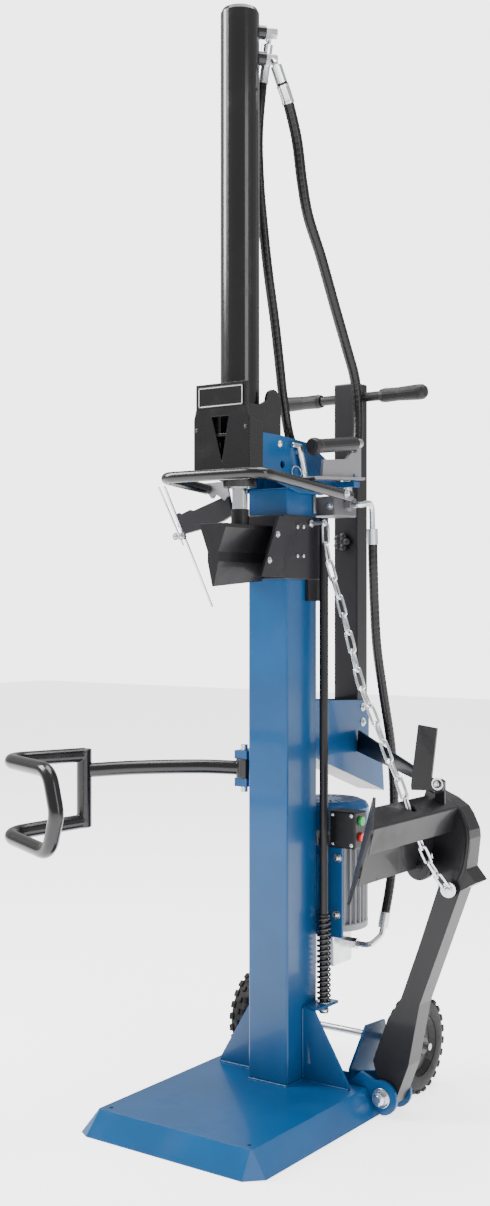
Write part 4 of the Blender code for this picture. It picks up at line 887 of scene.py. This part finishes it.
# --- Wheels: knobbly rubber tyres on moulded rims, with a plain axle through both ---
# Black rubber with three staggered rows of lugs round the tread.
TYRE_RUBBER = rubber_finish("tyre_rubber", (0.0050, 0.0048, 0.0052), 0.62, 700.0, 0.00025)
for node in ("rim_left", "rim_right"):
    coated(node, RIM_PLASTIC)


def lathe(profile, steps):
    """A closed ring turned about Z from a closed profile of (radius, height) points."""
    mesh = bpy.data.meshes.new("turned_ring")
    edges = [(index, (index + 1) % len(profile)) for index in range(len(profile))]
    mesh.from_pydata([(radius, 0.0, height) for radius, height in profile], edges, [])
    ring = bpy.data.objects.new("turned_ring", mesh)
    scene.collection.objects.link(ring)
    bpy.ops.object.select_all(action="DESELECT")
    bpy.context.view_layer.objects.active = ring
    ring.select_set(True)
    bpy.ops.object.mode_set(mode="EDIT")
    bpy.ops.mesh.select_all(action="SELECT")
    bpy.ops.mesh.spin(steps=steps, angle=2 * math.pi, center=(0, 0, 0), axis=(0, 0, 1))
    bpy.ops.mesh.select_all(action="SELECT")
    bpy.ops.mesh.remove_doubles(threshold=0.00002)
    bpy.ops.mesh.normals_make_consistent(inside=False)
    bpy.ops.object.mode_set(mode="OBJECT")
    return ring


TYRE_PROFILE = [(0.0665, 0.0195), (0.0740, 0.0212), (0.0860, 0.0216), (0.0945, 0.0200), (0.0985, 0.0160),
                (0.1005, 0.0080), (0.1010, 0.0000), (0.1005, -0.0080), (0.0985, -0.0160), (0.0945, -0.0200),
                (0.0860, -0.0216), (0.0740, -0.0212), (0.0665, -0.0195)]
lug = block((0.0985, -0.0060, -0.0045), (0.1046, 0.0060, 0.0045), 0.0012)
shoulder_lug = block((0.0955, -0.0075, 0.0095), (0.1036, 0.0075, 0.0205), 0.0016)
LUGS = 24
for side, centre_x in (("right", 0.202), ("left", -0.202)):
    parts = [lathe(TYRE_PROFILE, 72)]
    for index in range(LUGS):
        middle = Matrix.Rotation(2 * math.pi * index / LUGS, 4, "Z")
        outer = Matrix.Rotation(2 * math.pi * (index + 0.5) / LUGS, 4, "Z")
        parts.append(copied(lug, middle))
        parts.append(copied(shoulder_lug, outer))
        parts.append(copied(shoulder_lug, outer @ Matrix.Translation((0, 0, -0.0300))))
    tyre = joined(parts)
    stand = Matrix.Translation((centre_x, 0.370, 0.105)) @ Matrix.Rotation(math.radians(90), 4, "Y")
    tyre.data.transform(stand)
    finish_piece(tyre, "tyre_knobbly_" + side, TYRE_RUBBER, "wheel_" + side, 40.0)
    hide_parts("tyre_" + side)
bpy.data.objects.remove(lug)
bpy.data.objects.remove(shoulder_lug)

# --- Lifter hinge: two ears on the base and the big bolt that the arm turns on ---
# Zinc-plated hexagon bolt and nut on wide washers.
HINGE_X, HINGE_Z = 0.222, 0.040
hinge = joined([shaft((HINGE_X, 0.1935, HINGE_Z), (HINGE_X, 0.2630, HINGE_Z), 0.0100, 32),
                shaft((HINGE_X, 0.1905, HINGE_Z), (HINGE_X, 0.1934, HINGE_Z), 0.0205, 40, 0.0006),
                hex_bolt((HINGE_X, 0.1905, HINGE_Z), (0, -1, 0), 0.0290, 0.0105, False),
                hex_bolt((HINGE_X, 0.2619, HINGE_Z), (0, 1, 0), 0.0290, 0.0041, False, True)])
finish_piece(hinge, "hinge_hex_bolt", CHAIN_ZINC, "frame")
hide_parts("hinge_bolt")

# --- Log lifter: a pressed arm on the base hinge, its channel beam, claw and lock lever ---
# Black enamelled pressings, seam welded; the arm's top is an arch with a rolled rim.
for node in ("lifter_arm", "lifter_beam", "lifter_claw", "lock_lever"):
    coated(node, SATIN_BLACK)
chain_shackle = [hex_bolt((0.3790, 0.1895, 0.4912), (0.30, -0.95, 0.0), 0.0160, 0.0065),
                 shaft((0.3790, 0.1895, 0.4912), (0.3772, 0.2020, 0.4912), 0.0060, 20)]
finish_piece(joined(chain_shackle), "chain_shackle_bolt", ZINC, "lifter")
ARCH = [(0.3270, 0.2085, 0.6850), (0.3480, 0.2085, 0.6750), (0.3720, 0.2085, 0.6650),
        (0.3950, 0.2085, 0.6470), (0.4070, 0.2085, 0.6270), (0.4135, 0.2085, 0.6040),
        (0.4125, 0.2085, 0.5750), (0.4065, 0.2085, 0.5400), (0.3960, 0.2085, 0.5120)]
arch_rim = sweep(smooth_route(ARCH, 0.006), lambda walked, angle: 0.0062, 20)
finish_piece(arch_rim, "arm_arch_rim", SATIN_BLACK, "lifter", 50.0)
roller = joined([shaft((0.3320, 0.1480, 0.5400), (0.3320, 0.1700, 0.5400), 0.0290, 48, 0.0030),
                 shaft((0.3320, 0.1430, 0.5400), (0.3320, 0.2000, 0.5400), 0.0100, 24),
                 shaft((0.3320, 0.1380, 0.5400), (0.3320, 0.1440, 0.5400), 0.0070, 6)])
finish_piece(roller, "chain_roller", SATIN_BLACK, "lifter")
pivot_bolt = hex_bolt((0.3706, 0.1600, 0.7066), (0, -1, 0), 0.0130, 0.0050)
finish_piece(pivot_bolt, "lock_pivot_bolt", ZINC, "lifter")

# --- Lifter latch: a flat bar from the rear bracket that the lock lever hooks onto ---
# Black enamelled strip, bolted to the bracket's right side and tapered towards the lifter.
LATCH_LENGTH = 0.3600
latch = block((0.0, -0.0025, -0.0260), (LATCH_LENGTH, 0.0025, 0.0230), 0.0008)
for vertex in latch.data.vertices:
    share = max(0.0, vertex.co.x) / LATCH_LENGTH
    vertex.co.z *= 1.0 - 0.62 * share
latch_start, latch_end = Vector((0.0370, 0.4100, 0.7560)), Vector((0.3440, 0.2120, 0.6960))
way = (latch_end - latch_start).normalized()
side_way = Vector((0, 0, 1)).cross(way).normalized()
latch_place = Matrix((way, side_way, way.cross(side_way))).transposed().to_4x4()
latch_place.translation = latch_start
latch.data.transform(latch_place)
finish_piece(latch, "lifter_latch_bar", SATIN_BLACK, "frame")

# --- Catch bow: a bent-tube loop on the left that stops the split halves from falling ---
# Gloss black tube; its arm swings on a pin in a blue clevis bolted to the column.
PIVOT = (-0.082, 0.130)
BACK = (-0.348, -0.089)
TOP, LOW = 0.742, 0.600
CATCH_TUBE_RADIUS = 0.0155
arm_route = smooth_route([(PIVOT[0] - 0.014, PIVOT[1] - 0.004, 0.711), (-0.160, 0.066, 0.715),
                          (-0.260, -0.018, 0.714), (BACK[0] + 0.010, BACK[1] + 0.008, 0.709)], 0.008)
loop_route = bent_route([(*BACK, TOP), (-0.412, -0.262, TOP), (-0.235, -0.318, TOP - 0.004),
                         (-0.205, -0.328, 0.655), (-0.235, -0.318, 0.574), (-0.412, -0.262, LOW - 0.012),
                         (*BACK, LOW)], 0.045)
catch = joined([sweep(arm_route, lambda walked, angle: CATCH_TUBE_RADIUS, 28),
                sweep(loop_route, lambda walked, angle: CATCH_TUBE_RADIUS, 28),
                shaft((*BACK, LOW - 0.013), (*BACK, TOP + 0.013), 0.0162, 32, 0.002),
                shaft((*PIVOT, 0.6905), (*PIVOT, 0.7315), 0.0180, 32, 0.001)])
finish_piece(catch, "catch_bow_tube", BLACK_ENAMEL, "bow", 40.0)
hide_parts("catch_bow")

bpy.context.view_layer.update()
